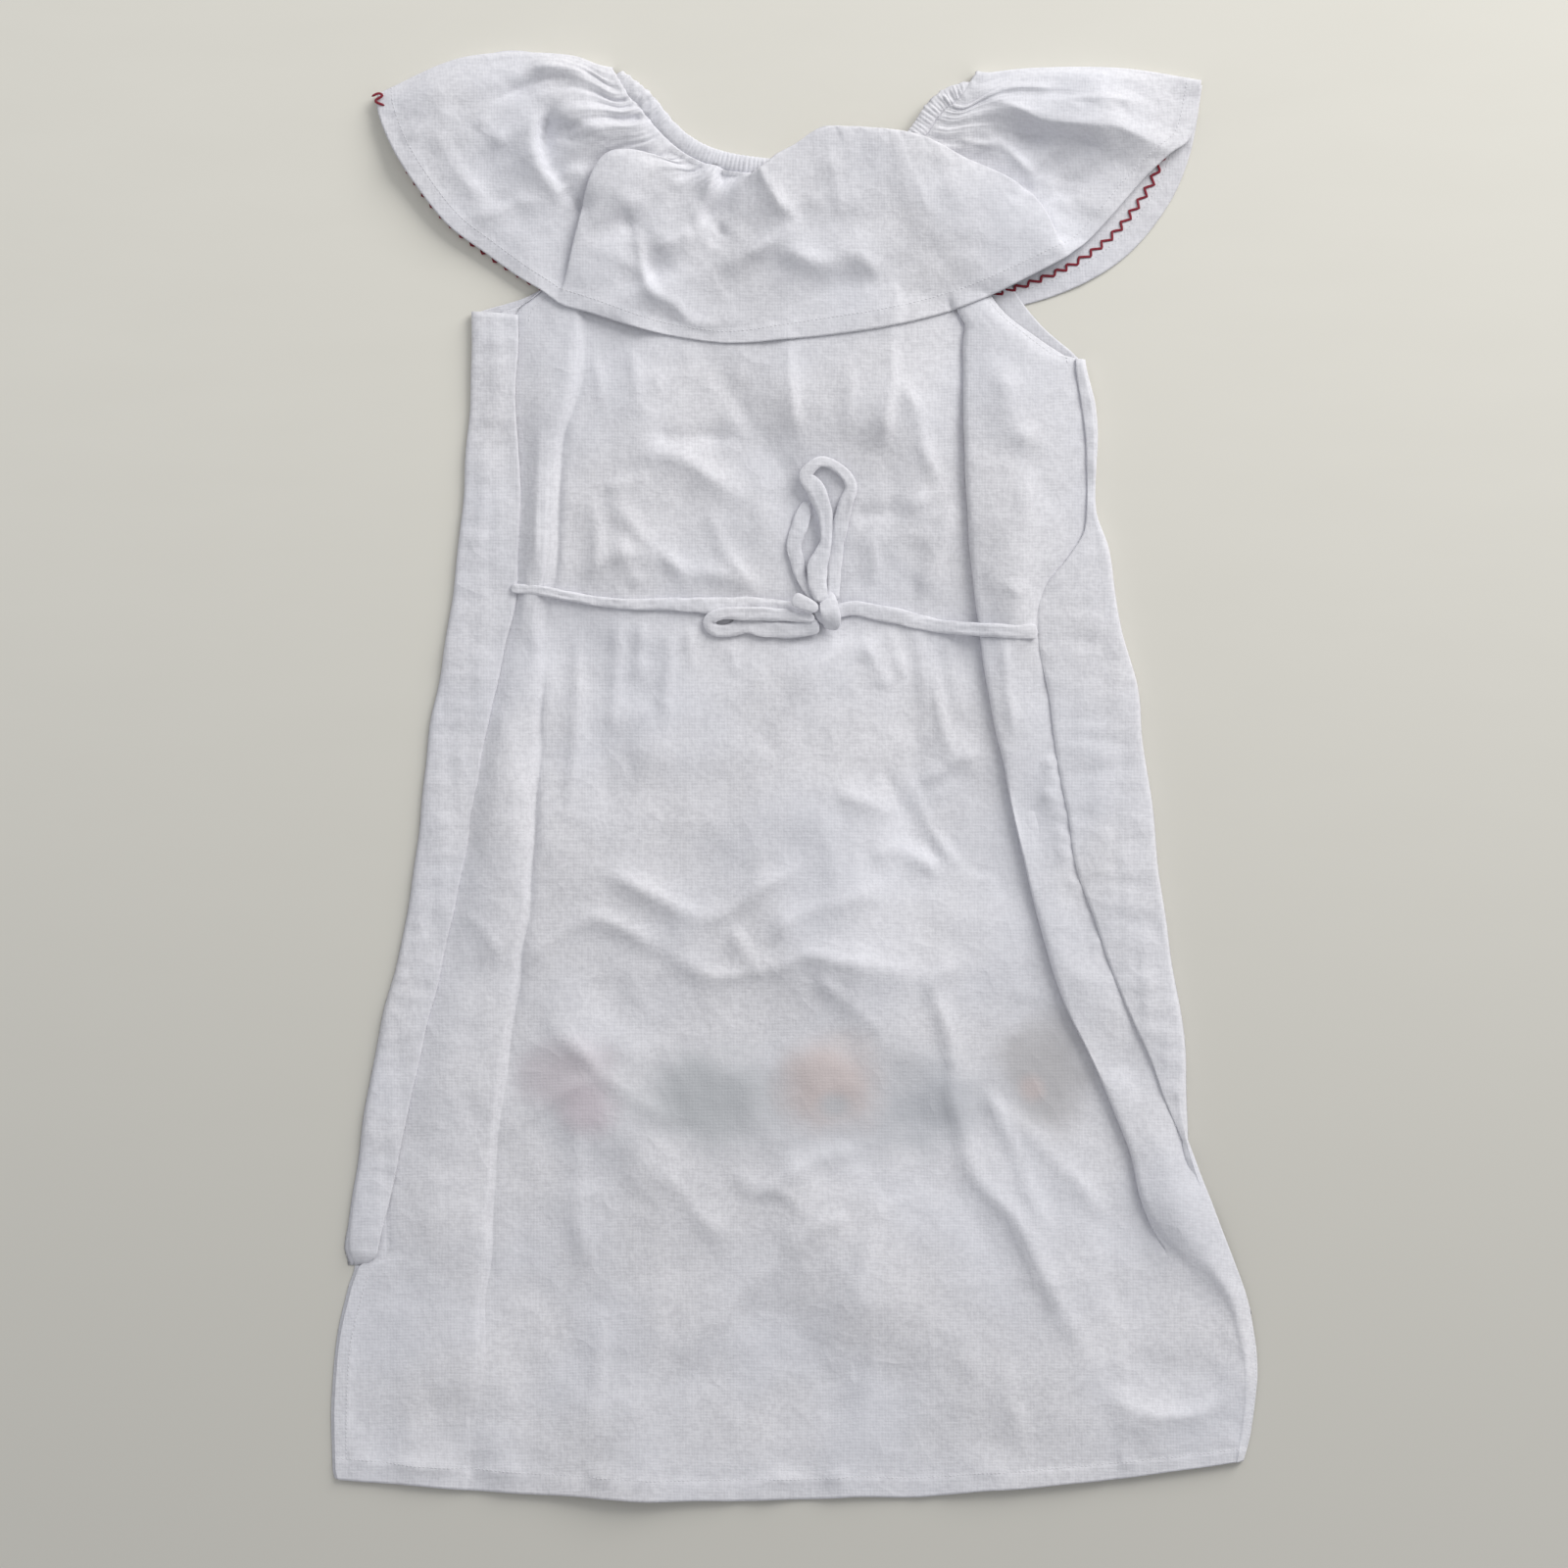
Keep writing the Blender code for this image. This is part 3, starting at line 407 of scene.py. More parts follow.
def neck_point(share, offset):
    """Plan point at a share of the neckline, moved out of the neck opening by offset."""
    inside = min(max(share, 0.0), 1.0) * NECK_STEPS
    steps = np.arange(NECK_STEPS + 1)
    here, ahead, behind = (
        np.array([np.interp(place, steps, NECK_POINTS[:, axis]) for axis in (0, 1)])
        for place in (inside, min(inside + NECK_REACH, NECK_STEPS), max(inside - NECK_REACH, 0)))
    along = (ahead - behind) / np.linalg.norm(ahead - behind)
    past_end = along * (share - inside / NECK_STEPS) * NECK_LENGTH
    return here + past_end + np.array((along[1], -along[0])) * offset


# %% [markdown]
# The body is made of crosswise rows. Each row leans a little, because the dress lies askew, and the
# hem sags in the middle. A section gives the cloth across one row as x and z, folds included.

# %% Rows across the body
def row_ends(row):
    """Plan ends of a crosswise row: the laid outline at its left and right."""
    lean, sag = (read_table(ROW_LEAN, row, column) for column in (1, 2))
    y_left, y_right = row + lean / 2 + sag, row - lean / 2 + sag
    return (read_table(LEFT_EDGE, y_left), y_left), (read_table(RIGHT_EDGE, y_right), y_right)


def row_y(row, x):
    """Where a crosswise row passes at x."""
    lean, sag = (read_table(ROW_LEAN, row, column) for column in (1, 2))
    (x_left, _), (x_right, _) = row_ends(row)
    f = (x - x_left) / (x_right - x_left)
    return row + lean * (0.5 - f) + sag * (1 - 4 * f * (1 - f))


def line_x(line, row):
    """Where a lengthwise line crosses a row."""
    x = read_table(line, row)
    for _ in range(3):
        x = read_table(line, row_y(row, x))
    return x


def back_base(row):
    """Height of the back panel's lowest layer, which rises over the front flounce near the underarm."""
    return mix(BACK_LAYER, YOKE_LAYER, ease(190, 262, row))


def blend_points(flat, folded, share):
    return [tuple(mix(a, b, share) for a, b in zip(p, q)) for p, q in zip(flat, folded)]


# %% The back panel across one row: tuck, long fold, puffed middle, pleat and right side
def back_section(row):
    left, fold, pleat, right = (line_x(t, row) for t in (LEFT_SEAM, LEFT_FOLD, RIGHT_PLEAT, RIGHT_SEAM))
    low, folded = back_base(row), ease(-340, -250, row)
    left = mix(row_ends(row)[0][0] + 2, left, ease(*LEFT_BLEND, row))
    right = mix(row_ends(row)[1][0] - read_table(SLIT_SHOWS, row), right, ease(*RIGHT_BLEND, row))
    flat_edge = [(left + step, low) for step in (0, 3, 6, 9, 14)]
    tucked = [(left - 0.5, low + TUCK_STEP), (left - TUCK_WIDTH, low + TUCK_STEP),
              (left - TUCK_WIDTH - 1, low + TUCK_STEP / 2), (left - TUCK_WIDTH, low), (left + 2, low)]
    points = blend_points(flat_edge, tucked, folded)
    uneven = 1 + 0.7 * noise.noise((row / 60, 3.1, 0))
    fold += 4 * noise.noise((row / 45, 9.2, 0))
    start, top = points[-1][0], low + STEP_HEIGHT * uneven * ease(-450, -220, row)
    points += [(mix(start, fold, 0.35), mix(low, top, 0.4)), (mix(start, fold, 0.7), mix(low, top, 0.9)),
               (fold - 3, top + 0.3), (fold, top), (fold + 4.0, mix(low, top, 0.35)), (fold + 10, low)]
    near, far = fold + 9, pleat - 8
    heights = [read_table(BACK_PUFF, row, column) for column in (1, 2, 3)]
    across = tuple(zip((0, 0.25, 0.5, 0.75, 1), (0, *heights, 0.2)))
    points += [(mix(near, far, share), low + read_table(across, share)) for share in PUFF_SHARES]
    rise = ease(-440, -360, row)
    open_pleat = [(pleat + step, low + height * rise) for step, height in OPEN_PLEAT]
    turn = pleat + PLEAT_WIDTH
    pleat_height = PLEAT_HEIGHT * mix(1, 0.5, ease(205, 280, row))
    closed_pleat = [(pleat - 4, low), (turn, low), (turn + 1, low + pleat_height * 0.25),
                    (turn, low + pleat_height * 0.5), (pleat + 1, low + pleat_height * 0.55),
                    (pleat, low + pleat_height * 0.8), (pleat + 3, low + pleat_height)]
    points += blend_points(open_pleat, closed_pleat, folded)
    last, upper = points[-1]
    end_z = mix(low + 0.4, BACK_LAYER + RIGHT_LAYER, ease(SLIT_ROW - 60, SLIT_ROW + 110, row))
    return points + [(mix(last, right, 0.5), max(upper, end_z)), (right + 2.5, end_z - 1.8)]


# Steps between the section's points, and how much of the creases each point takes where the folds are
# closed and where they lie open near the hem
BACK_STEPS = (4, 3, 3, 3, 6, 6, 5, 2, 2, 3, 12, 12, 12, 12, 12, 12, 12, 12, 4, 2, 2, 2, 2, 3, 9, 9)
BACK_SHARE = (0, 0, 0, 0, 0.4, 1, 1, 0.7, 0.5, 0.3, 0.8, *[1] * 7, 0.5, 0, 0, 0, 0, 0, 0.5, 1, 0.1)
OPEN_SHARE = (0, 0, 0, 0, 0.4, *[1] * 21, 0.3)


# %% The front panel across one row: it lies on the board and wraps up over both sides to the seams
def front_section(row):
    (left, _), (right, _) = row_ends(row)
    rolled, closed = ease(*LEFT_BLEND, row), ease(*RIGHT_BLEND, row)
    right -= 2.5 * (1 - closed)
    seam_left = mix(left + 3, line_x(LEFT_SEAM, row), rolled)
    seam_right = mix(right - 3, line_x(RIGHT_SEAM, row), closed)
    floor = mix(FRONT_LAYER, LIFTED_LAYER, ease(235, 262, row))
    top_left = mix(floor + 0.2, back_base(row) + TUCK_STEP + 1.0, rolled)
    top_right = mix(floor + 0.2, BACK_LAYER + RIGHT_LAYER, closed)
    inset = EDGE_ROUND * ease(SLIT_ROW, SLIT_ROW + 30, row)
    sides = []
    for seam, edge, inward, top, turn in ((seam_left, left, 1, top_left, rolled),
                                          (seam_right, right, -1, top_right, closed)):
        sides.append([(seam + 1.2 * inward, top - 0.9 * turn), (seam, top - 0.5 * turn),
                      (seam + 1.4 * inward, top + 0.2 * turn), (mix(seam, edge, 0.33), top + 0.7 * turn),
                      (mix(seam, edge, 0.62), top + 0.6 * turn),
                      (edge + EDGE_ROUND * mix(0.3, 1, turn) * inward, top),
                      (edge + 0.7 * inward, mix(floor, top, 0.8)),
                      (edge, mix(floor, top, 0.5)), (edge + 0.7 * inward, mix(floor, top, 0.2)),
                      (edge + inset * inward, floor)])
    flat = [(mix(left, right, share), floor) for share in (0.1, 0.22, 0.36, 0.5, 0.64, 0.78, 0.9)]
    return sides[0] + flat + sides[1][::-1]


SIDE_STEPS = (2, 2, 5, 6, 6, 3, 2, 2, 3)
FRONT_STEPS = (*SIDE_STEPS, *[8] * 8, *SIDE_STEPS[::-1])
SIDE_SHARE = (0, 0.2, 0.6, 1, 1, 0.6, 0.3, 0, 0, 0)
FRONT_SHARE = (*SIDE_SHARE, *[0] * 7, *SIDE_SHARE[::-1])

# %% [markdown]
# Above the underarm the panels narrow between the armholes and end at the casing. A yoke row is made
# from the underarm row, drawn in to the armholes and bowed towards the neckline.

# %% Rows above the underarm. Between these shares of a row a point keeps its place across it
STRAIGHT_UP = (0.12, 0.88)


def yoke_row(share, left_table, right_table, below, low, high):
    ends = [neck_point(s, PANEL_SEAM) for s in (SHOULDER, 1 - SHOULDER)]
    left, right = (
        [mix(read_table(table, share, column), end[column - 1], ease(0.7, 1.0, share)) for column in (1, 2)]
        for table, end in zip((left_table, right_table), ends))
    across = right[0] - left[0]
    low_end = min((below[0][0] - left[0]) / across, 0.0)
    high_end = max((below[-1][0] - left[0]) / across, 1.0)
    row = []
    for index, (x, _, z) in enumerate(below):
        place = (x - left[0]) / across
        kept = np.interp(place, (low_end, *STRAIGHT_UP, high_end), (0, *STRAIGHT_UP, 1))
        f = mix(kept, index / (len(below) - 1), share**3)
        neck = neck_point(mix(SHOULDER, 1 - SHOULDER, f), PANEL_SEAM)
        bow = share**1.4 * (neck - mix(ends[0], ends[1], f))
        row.append((mix(left[0], right[0], f) + bow[0], mix(left[1], right[1], f) + bow[1],
                    mix(max(z, low), high, ease(0.3, 1.0, share))))
    return row


# %% All rows of a panel
ROWS = [*np.linspace(HEM_ROW, HEM_ROW + HEM_BAND, 9)[:-1],
        *np.linspace(HEM_ROW + HEM_BAND, SLIT_ROW, 36)[:-1],
        *np.linspace(SLIT_ROW, UNDERARM_ROW, 176)]
YOKE_ROWS = 26
print(len(ROWS), "rows from hem to underarm and", YOKE_ROWS, "above it")


def panel_points(section, steps):
    """Rows of x, y, z points from the hem to the underarm."""
    weights = spline_weights(steps)
    rows = []
    for row in ROWS:
        across = weights @ np.array(section(row))
        rows.append([(x, row_y(row, x), z) for x, z in across])
    return np.array(rows)


# %% [markdown]
# Relief is what makes cloth look like cloth. A crease is highest on its route, falls away at its own
# rate on either side, and tapers at both ends. Under it lies a fine crumple of soft facets.

# %% Creases as a height field
CREST = 0.5
SPREAD = (1.15, 1.3)


def relief(x, y, creases, seed):
    """Summed height of the creases at each plan point."""
    total = np.zeros_like(x)
    for number, (height, left_width, right_width, route) in enumerate(creases):
        line = along_route(route, even(5 * len(route)))
        nearest = np.full_like(x, 1e9)
        side, share = np.zeros_like(x), np.zeros_like(x)
        for i, (start, end) in enumerate(zip(line, line[1:])):
            step = end - start
            t = np.clip(((x - start[0]) * step[0] + (y - start[1]) * step[1]) / (step @ step), 0, 1)
            away_x, away_y = x - start[0] - t * step[0], y - start[1] - t * step[1]
            distance = np.hypot(away_x, away_y)
            closer = distance < nearest
            nearest = np.where(closer, distance, nearest)
            side = np.where(closer, step[0] * away_y - step[1] * away_x, side)
            share = np.where(closer, (i + t) / (len(line) - 1), share)
        width = np.where(side > 0, left_width, right_width) * SPREAD[0] + SPREAD[1]
        crest = np.exp(-1.5 * (np.hypot(nearest, CREST) - CREST) / width)
        uneven = 1 + 0.3 * np.sin(share * 9 + seed + number * 1.7)
        total += height * crest * uneven * ease(0, 0.25, share) * (1 - ease(0.72, 1.0, share))
    return total


# %% Crumple and drift. Columns of the facets: size, height
BODY_FACETS = ((104, 5.2), (50, 2.3), (24, 0.9), (12, 0.36))
SIDE_FACETS = ((34, 0.8), (15, 0.4))
FLOUNCE_FACETS = ((88, 4.2), (42, 2.0), (20, 0.85), (10, 0.28))
FRONT_FLOUNCE_FACETS = ((30, 0.8), (14, 0.3))
NET_START = (-360, -540)
NET_SPAN = (720, 1080)
# The nets are scattered from this seed, so that each run gives the same cloth
NET_SEED = 3
noise.seed_set(NET_SEED)


def noise_at(x, y, size_x, size_y, seed):
    flat = [noise.noise((a / size_x, b / size_y, seed)) for a, b in zip(x.ravel(), y.ravel())]
    return np.array(flat).reshape(x.shape)


def crumple(x, y, seed, sizes):
    """Flat facets that meet in straight creases: heights on a scattered net, read between its corners."""
    total = np.zeros_like(x)
    for size, amount in sizes:
        columns, rows = (round(span / size) + 4 for span in NET_SPAN)
        corners, facets = [], []
        for j in range(rows):
            for i in range(columns):
                shift = noise.noise_vector((i * 3.7, j * 3.3, seed + size))
                corner_x = (i - 2 + 0.4 * shift.x + 0.5 * (j % 2)) * size + NET_START[0]
                corner_y = (j - 2 + 0.4 * shift.y) * size + NET_START[1]
                corners.append(Vector((corner_x, corner_y, amount * 3 * shift.z)))
                if i and j:
                    b = (j - 1) * columns + i
                    a, c, d = b - 1, b + columns, b + columns - 1
                    facets += [(a, b, c), (a, c, d)] if (j + seed) % 2 else [(a, b, d), (b, c, d)]
        net = BVHTree.FromPolygons(corners, facets)
        down, top = Vector((0, 0, -1)), 50
        found = [net.ray_cast(Vector((a, b, top)), down)[0].z for a, b in zip(x.ravel(), y.ravel())]
        fade = ease(-0.45, 0.25, noise_at(x, y, 90, 90, seed + size))
        total += np.array(found).reshape(x.shape) * mix(0.35, 1.0, fade)
    return total


def drift(points):
    """Small wander of the cloth in plan, the same for all layers, so that seams stay together."""
    x, y = points[..., 0], points[..., 1]
    points[..., 0] = x + 1.6 * noise_at(x, y, 40, 40, 3.1)
    points[..., 1] = y + 1.6 * noise_at(x, y, 40, 40, 8.4)


# %% [markdown]
# A sheet of cloth is one grid, bent through its rows of points. A Solidify modifier gives it the
# thickness of the cloth, to both sides. The grid is also kept as a tree that other pieces rest on.

# %% From points to a sheet of cloth
def add_object(name, bm, finish):
    mesh = bpy.data.meshes.new(name)
    bm.to_mesh(mesh)
    bm.free()
    mesh.materials.append(finish)
    mesh.shade_smooth()
    obj = bpy.data.objects.new(name, mesh)
    bpy.context.scene.collection.objects.link(obj)
    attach(obj, "root")
    return obj


def cloth(name, points, finish, kept=None, node=None):
    up, across = points.shape[:2]
    bm = bmesh.new()
    bmesh.ops.create_grid(bm, x_segments=across - 1, y_segments=up - 1, size=1)
    for vert, point in zip(bm.verts, points.reshape(-1, 3)):
        vert.co = Vector(point) * MM
    if kept:
        unwanted = [face for index, face in enumerate(bm.faces)
                    if not kept(index // (across - 1), index % (across - 1))]
        bmesh.ops.delete(bm, geom=unwanted, context="FACES")
    surface = BVHTree.FromBMesh(bm)
    print(name, len(bm.faces), "faces")
    obj = add_object(name + "_cloth", bm, finish)
    thicken = obj.modifiers.new("cloth thickness", "SOLIDIFY")
    thicken.thickness = CLOTH * MM
    thicken.offset = 0.0
    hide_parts(node or name)
    return obj, surface


def rest_height(surfaces, x, y, reach=0.0):
    """The highest cloth within reach of a plan point, in millimetres, or 0 for the board."""
    found = [0.0]
    around = [(0, 0)]
    if reach:
        turns = [math.tau * k / 6 for k in range(6)]
        around += [(reach * math.cos(a), reach * math.sin(a)) for a in turns]
    for dx, dy in around:
        for surface in surfaces:
            hit = surface.ray_cast(metre(x + dx, y + dy, 100), Vector((0, 0, -1)))[0]
            if hit:
                found.append(hit.z / MM)
    return max(found)


# %% [markdown]
# Shader maths is easier to read as sums than as nodes. Wire wraps a socket, so that an expression adds
# its own Math nodes, and Finish holds one material and adds every other node through one method.

# %% Shader maths
class Wire:
    """An output socket that can be added, multiplied and so on."""

    def __init__(self, finish, socket):
        self.finish, self.socket = finish, socket

    def maths(self, operation, *values):
        return self.finish.node("ShaderNodeMath", {"operation": operation}, *values)

    def __add__(self, other):
        return self.maths("ADD", self, other)

    def __sub__(self, other):
        return self.maths("SUBTRACT", self, other)

    def __rsub__(self, other):
        return self.maths("SUBTRACT", other, self)

    def __mul__(self, other):
        return self.maths("MULTIPLY", self, other)

    __radd__ = __add__
    __rmul__ = __mul__


class Finish:
    """One material."""

    def __init__(self, name, roughness):
        self.material = bpy.data.materials.new(name)
        self.material.use_nodes = True
        self.tree = self.material.node_tree
        self.shader = self.tree.nodes["Principled BSDF"]
        self.shader.inputs["Roughness"].default_value = roughness
        self.place = self.node("ShaderNodeTexCoord", {}, output="Object")

    def node(self, kind, settings, *values, output=0, **named):
        """A node: its settings first, then the values or links of its sockets. Returns one output."""
        made = self.tree.nodes.new(kind)
        for setting, value in settings.items():
            setattr(made, setting, value)
        for key, value in [*enumerate(values), *((k.replace("_", " "), v) for k, v in named.items())]:
            self.plug(made.inputs[key], value)
        return Wire(self, made.outputs[output])

    def plug(self, socket, value):
        if isinstance(value, Wire):
            self.tree.links.new(value.socket, socket)
        else:
            socket.default_value = value

    def noise(self, scale, detail=2.0, stretch=(1, 1, 1)):
        """Noise from 0 to 1, with a number of waves for each metre, stretched along the axes."""
        vector = self.node("ShaderNodeMapping", {}, Vector=self.place, Scale=stretch)
        return self.node("ShaderNodeTexNoise", {}, Vector=vector, Scale=scale, Detail=detail)

    def wavy(self, scale, reach):
        """Object coordinates that wander by up to reach metres."""
        colour = self.node("ShaderNodeTexNoise", {}, Vector=self.place, Scale=scale, output="Color")
        shift = self.node("ShaderNodeVectorMath", {"operation": "SCALE"}, colour, Scale=reach)
        return self.node("ShaderNodeVectorMath", {"operation": "ADD"}, self.place, shift)

    def blend(self, share, first, second):
        """A colour between two others."""
        mixer = self.tree.nodes.new("ShaderNodeMix")
        mixer.data_type = "RGBA"
        for socket, value in ((0, share), (6, first), (7, second)):
            self.plug(mixer.inputs[socket], value)
        return Wire(self, mixer.outputs[2])

    def smooth(self, value, low, high):
        """0 below low, 1 above high, and smooth between."""
        return self.node("ShaderNodeMapRange", {"interpolation_type": "SMOOTHSTEP"}, Value=value,
                         From_Min=low, From_Max=high)

    def bump(self, height, strength, distance):
        raised = self.node("ShaderNodeBump", {}, Height=height, Strength=strength, Distance=distance)
        self.plug(self.shader.inputs["Normal"], raised)

    def colour(self, value):
        self.plug(self.shader.inputs["Base Color"], value)


# %% [markdown]
# The cotton is a plain weave with uneven threads, so it looks mottled from close by: short thick
# stretches of thread, or slubs, run along and across. Its white leans a little to lilac.

# %% White cotton
SHADE = (0.700, 0.693, 0.728, 1)
LIGHT = (0.790, 0.784, 0.820, 1)
COOL = (0.715, 0.730, 0.805, 1)


def cotton(name, crinkle=0.5):
    finish = Finish(name, 0.92)
    slubs = 0.5 * finish.noise(480, 2, (0.4, 1, 1)) + 0.5 * finish.noise(480, 2, (1, 0.4, 1))
    folds = finish.node("ShaderNodeTexNoise", {}, Vector=finish.wavy(30, 0.02), Scale=34.0, Detail=1.0)
    weft = finish.node("ShaderNodeTexWave", {"bands_direction": "X"}, Vector=finish.place, Scale=330.0,
                       Distortion=0.6)
    warp = finish.node("ShaderNodeTexWave", {"bands_direction": "Y"}, Vector=finish.place, Scale=330.0,
                       Distortion=0.6)
    patches = finish.smooth(finish.noise(9, 2), 0.35, 0.7)
    base = finish.blend(finish.smooth(slubs, 0.36, 0.62), SHADE, LIGHT)
    base = finish.blend(patches * 0.4, base, COOL)
    finish.colour(base)
    finish.base = base
    height = slubs * 0.8 + (weft + warp) * 0.12 + finish.noise(80, 3) * crinkle
    height = height - finish.node("ShaderNodeMath", {"operation": "ABSOLUTE"}, folds - 0.5) * 8 * crinkle
    finish.bump(height, 0.5, 0.001)
    finish.shader.inputs["Sheen Weight"].default_value = 0.12
    finish.shader.inputs["Sheen Roughness"].default_value = 0.5
    return finish


# %% Where the print of the front shows through. Columns: x, y, half width, half height, colour, share
SHOW_THROUGH = (
    (10, -214, 185, 52, (0.600, 0.605, 0.640, 1), 0.62),
    (-56, -212, 56, 38, (0.535, 0.550, 0.575, 1), 0.85),
    (92, -218, 40, 42, (0.535, 0.548, 0.590, 1), 0.85),
    (165, -198, 38, 46, (0.510, 0.500, 0.515, 1), 0.90),
    (-147, -196, 38, 30, (0.610, 0.560, 0.600, 1), 0.80),
    (-132, -219, 26, 24, (0.610, 0.545, 0.595, 1), 0.80),
    (25, -200, 42, 38, (0.640, 0.555, 0.545, 1), 0.85),
    (28, -216, 14, 11, (0.560, 0.570, 0.600, 1), 0.80),
    (157, -206, 12, 12, (0.660, 0.560, 0.550, 1), 0.60),
)
# Flowers of the printed band, on the front panel. Columns: x, y, half width, half height, colour, share
FLOWERS = (
    (-135, -205, 40, 38, (0.62, 0.20, 0.36, 1), 1.0),
    (-135, -205, 12, 12, (0.85, 0.62, 0.15, 1), 1.0),
    (-58, -212, 30, 46, (0.16, 0.36, 0.22, 1), 1.0),
    (26, -204, 42, 40, (0.90, 0.36, 0.16, 1), 1.0),
    (28, -214, 13, 12, (0.15, 0.34, 0.55, 1), 1.0),
    (94, -216, 26, 44, (0.18, 0.40, 0.26, 1), 1.0),
    (162, -200, 38, 42, (0.42, 0.16, 0.42, 1), 1.0),
    (158, -204, 12, 12, (0.90, 0.55, 0.20, 1), 1.0),
)


def paint_patches(finish, table, soft):
    """Round patches of colour with uneven edges, soft or crisp."""
    base, wander = finish.base, finish.noise(26, 3)
    for x, y, half_width, half_height, colour, share in table:
        centred = finish.node("ShaderNodeMapping", {"vector_type": "TEXTURE"}, Vector=finish.place,
                              Location=(x * MM, y * MM, 0), Scale=(half_width * MM, half_height * MM, 1))
        flat = finish.node("ShaderNodeVectorMath", {"operation": "MULTIPLY"}, centred, (1, 1, 0))
        length = finish.node("ShaderNodeVectorMath", {"operation": "LENGTH"}, flat, output="Value")
        mask = 1 - finish.smooth(length + wander * 0.9, 1.12 - soft, 1.12 + soft)
        base = finish.blend(mask * share, base, colour)
    finish.colour(base)


panel_cotton = cotton("cotton_back")
paint_patches(panel_cotton, SHOW_THROUGH, 0.42)
front_cotton = cotton("cotton_front")
paint_patches(front_cotton, FLOWERS, 0.04)
plain_cotton = cotton("cotton_plain")
tie_cotton = cotton("cotton_tie", 0.6)
print("materials:", len(bpy.data.materials))

# %% [markdown]
# The front flounce lies flat on the board, so only its outer strip shows, on the right.

# %% Front flounce
sections = []
for share, x, y, hem_x, hem_y in FRONT_FLOUNCE:
    route = (tuple(neck_point(share, FLOUNCE_SEAM)), (x, y), (hem_x, hem_y))
    sections.append([(*p, FRONT_LAYER) for p in along_route(route, even(10))])
front_points = np.einsum("ai,ijk,bj->abk", spline_weights([12] * (len(sections) - 1)), np.array(sections),
                         spline_weights([3] * 8 + [HEM_STEPS]))
across = np.linspace(0, 1, front_points.shape[1])[None, :] * np.ones((front_points.shape[0], 1))
lift = crumple(front_points[..., 0], front_points[..., 1], 4, FRONT_FLOUNCE_FACETS)
front_points[..., 2] += np.clip(lift, 0, 3) * ease(0.72, 0.9, across)
front_points[:, -HEM_STEPS:, 2] += 0.35
flounce_front, flounce_front_surface = cloth("flounce_front", front_points, plain_cotton.material)

# %% [markdown]
# The front panel lies on the board and turns up over both sides. Near the hem it stays flat, because
# the side seams are slit there.

# %% Front panel
def seam_pucker(points, share):
    """Short puckers across the rolled side strips."""
    x, y = points[..., 0], points[..., 1]
    ripple = noise_at(x, y, 30, 7.5, 2.2) * 1.3 + noise_at(x, y, 9, 60, 6.2) * 1.2
    return share * (0.8 * ripple + crumple(x, y, 9, SIDE_FACETS))


points = panel_points(front_section, FRONT_STEPS)
share = (spline_weights(FRONT_STEPS) @ np.array(FRONT_SHARE))[None, :]
points[..., 2] += seam_pucker(points, share)
points[..., 2] = np.maximum(points[..., 2], FRONT_LAYER)
drift(points)
first, last = sum(SIDE_STEPS), points.shape[1] - 1 - sum(SIDE_STEPS)
below = points[-1][first:last + 1]
rows = [*points]
for rise in np.linspace(0, 1, YOKE_ROWS + 1)[1:]:
    inner = yoke_row(rise, FRONT_ARMHOLE_LEFT, FRONT_ARMHOLE_RIGHT, below, LIFTED_LAYER, LIFTED_LAYER)
    rows.append([inner[0]] * first + inner + [inner[-1]] * (len(points[0]) - 1 - last))
slit, underarm = ROWS.index(SLIT_ROW), len(ROWS) - 1
front_panel, front_surface = cloth("front_panel", np.array(rows), front_cotton.material,
                                   lambda r, c: first <= c < last or slit <= r < underarm)

# %% [markdown]
# The back panel shows most. Its rows already hold the long folds, and the creases are added where the
# cloth is the top layer, so that hidden layers stay apart.

# %% Back panel
points = panel_points(back_section, BACK_STEPS)
shares = [spline_weights(BACK_STEPS) @ np.array(column) for column in (OPEN_SHARE, BACK_SHARE)]
row_places = np.array(ROWS)[:, None]
share = mix(*shares, ease(-390, -320, row_places))
x, y = points[..., 0], points[..., 1]
height = 1.1 * relief(x, y, BODY_CREASES, 1.0) + 1.1 * relief(x, y, GATHERS, 2.0)
height += relief(x, y, PUCKERS, 4.0)
height += 2.0 + crumple(x, y, 1, BODY_FACETS)
height += 0.3 * noise_at(x, y, 9, 120, 4.4)
calm = 0.65 + 0.35 * ease(HEM_ROW + HEM_BAND, HEM_ROW + 60, row_places)
calm *= 1 - 0.5 * ease(225, UNDERARM_ROW, row_places)
points[..., 2] += height * share * calm
points[..., 2] += HEM_TURN * (row_places < HEM_ROW + HEM_BAND - 0.5)
by_hem = np.exp(-np.abs(row_places - HEM_ROW - HEM_BAND) / 7)
hem_puckers = np.clip(noise_at(x, y, 24, 60, 5.5) * 9, 0, 2.6) + noise_at(x, y, 7, 22, 6.6)
points[..., 2] += by_hem * share * hem_puckers
floor = np.array([back_base(row) for row in ROWS])[:, None]
points[..., 2] = np.where(share > 0.05, np.maximum(points[..., 2], floor - 0.9), points[..., 2])
drift(points)
rows = [*points]
for rise in np.linspace(0, 1, YOKE_ROWS + 1)[1:]:
    rows.append(yoke_row(rise, BACK_ARMHOLE_LEFT, BACK_ARMHOLE_RIGHT, points[-1], YOKE_LAYER, NECK_LAYER))
back_points = np.array(rows)
back_panel, back_surface = cloth("back_panel", back_points, panel_cotton.material)

# %% [markdown]
# The casing is a tube gathered on elastic. One ring of points is spun into a closed ring, and its
# turns are laid along the neckline and back. Ribs across the tube are the gathers.

# %% Neck casing
RIB_PITCH = 2.8
CASING_SIDES = 14
RUN_STEPS = 460


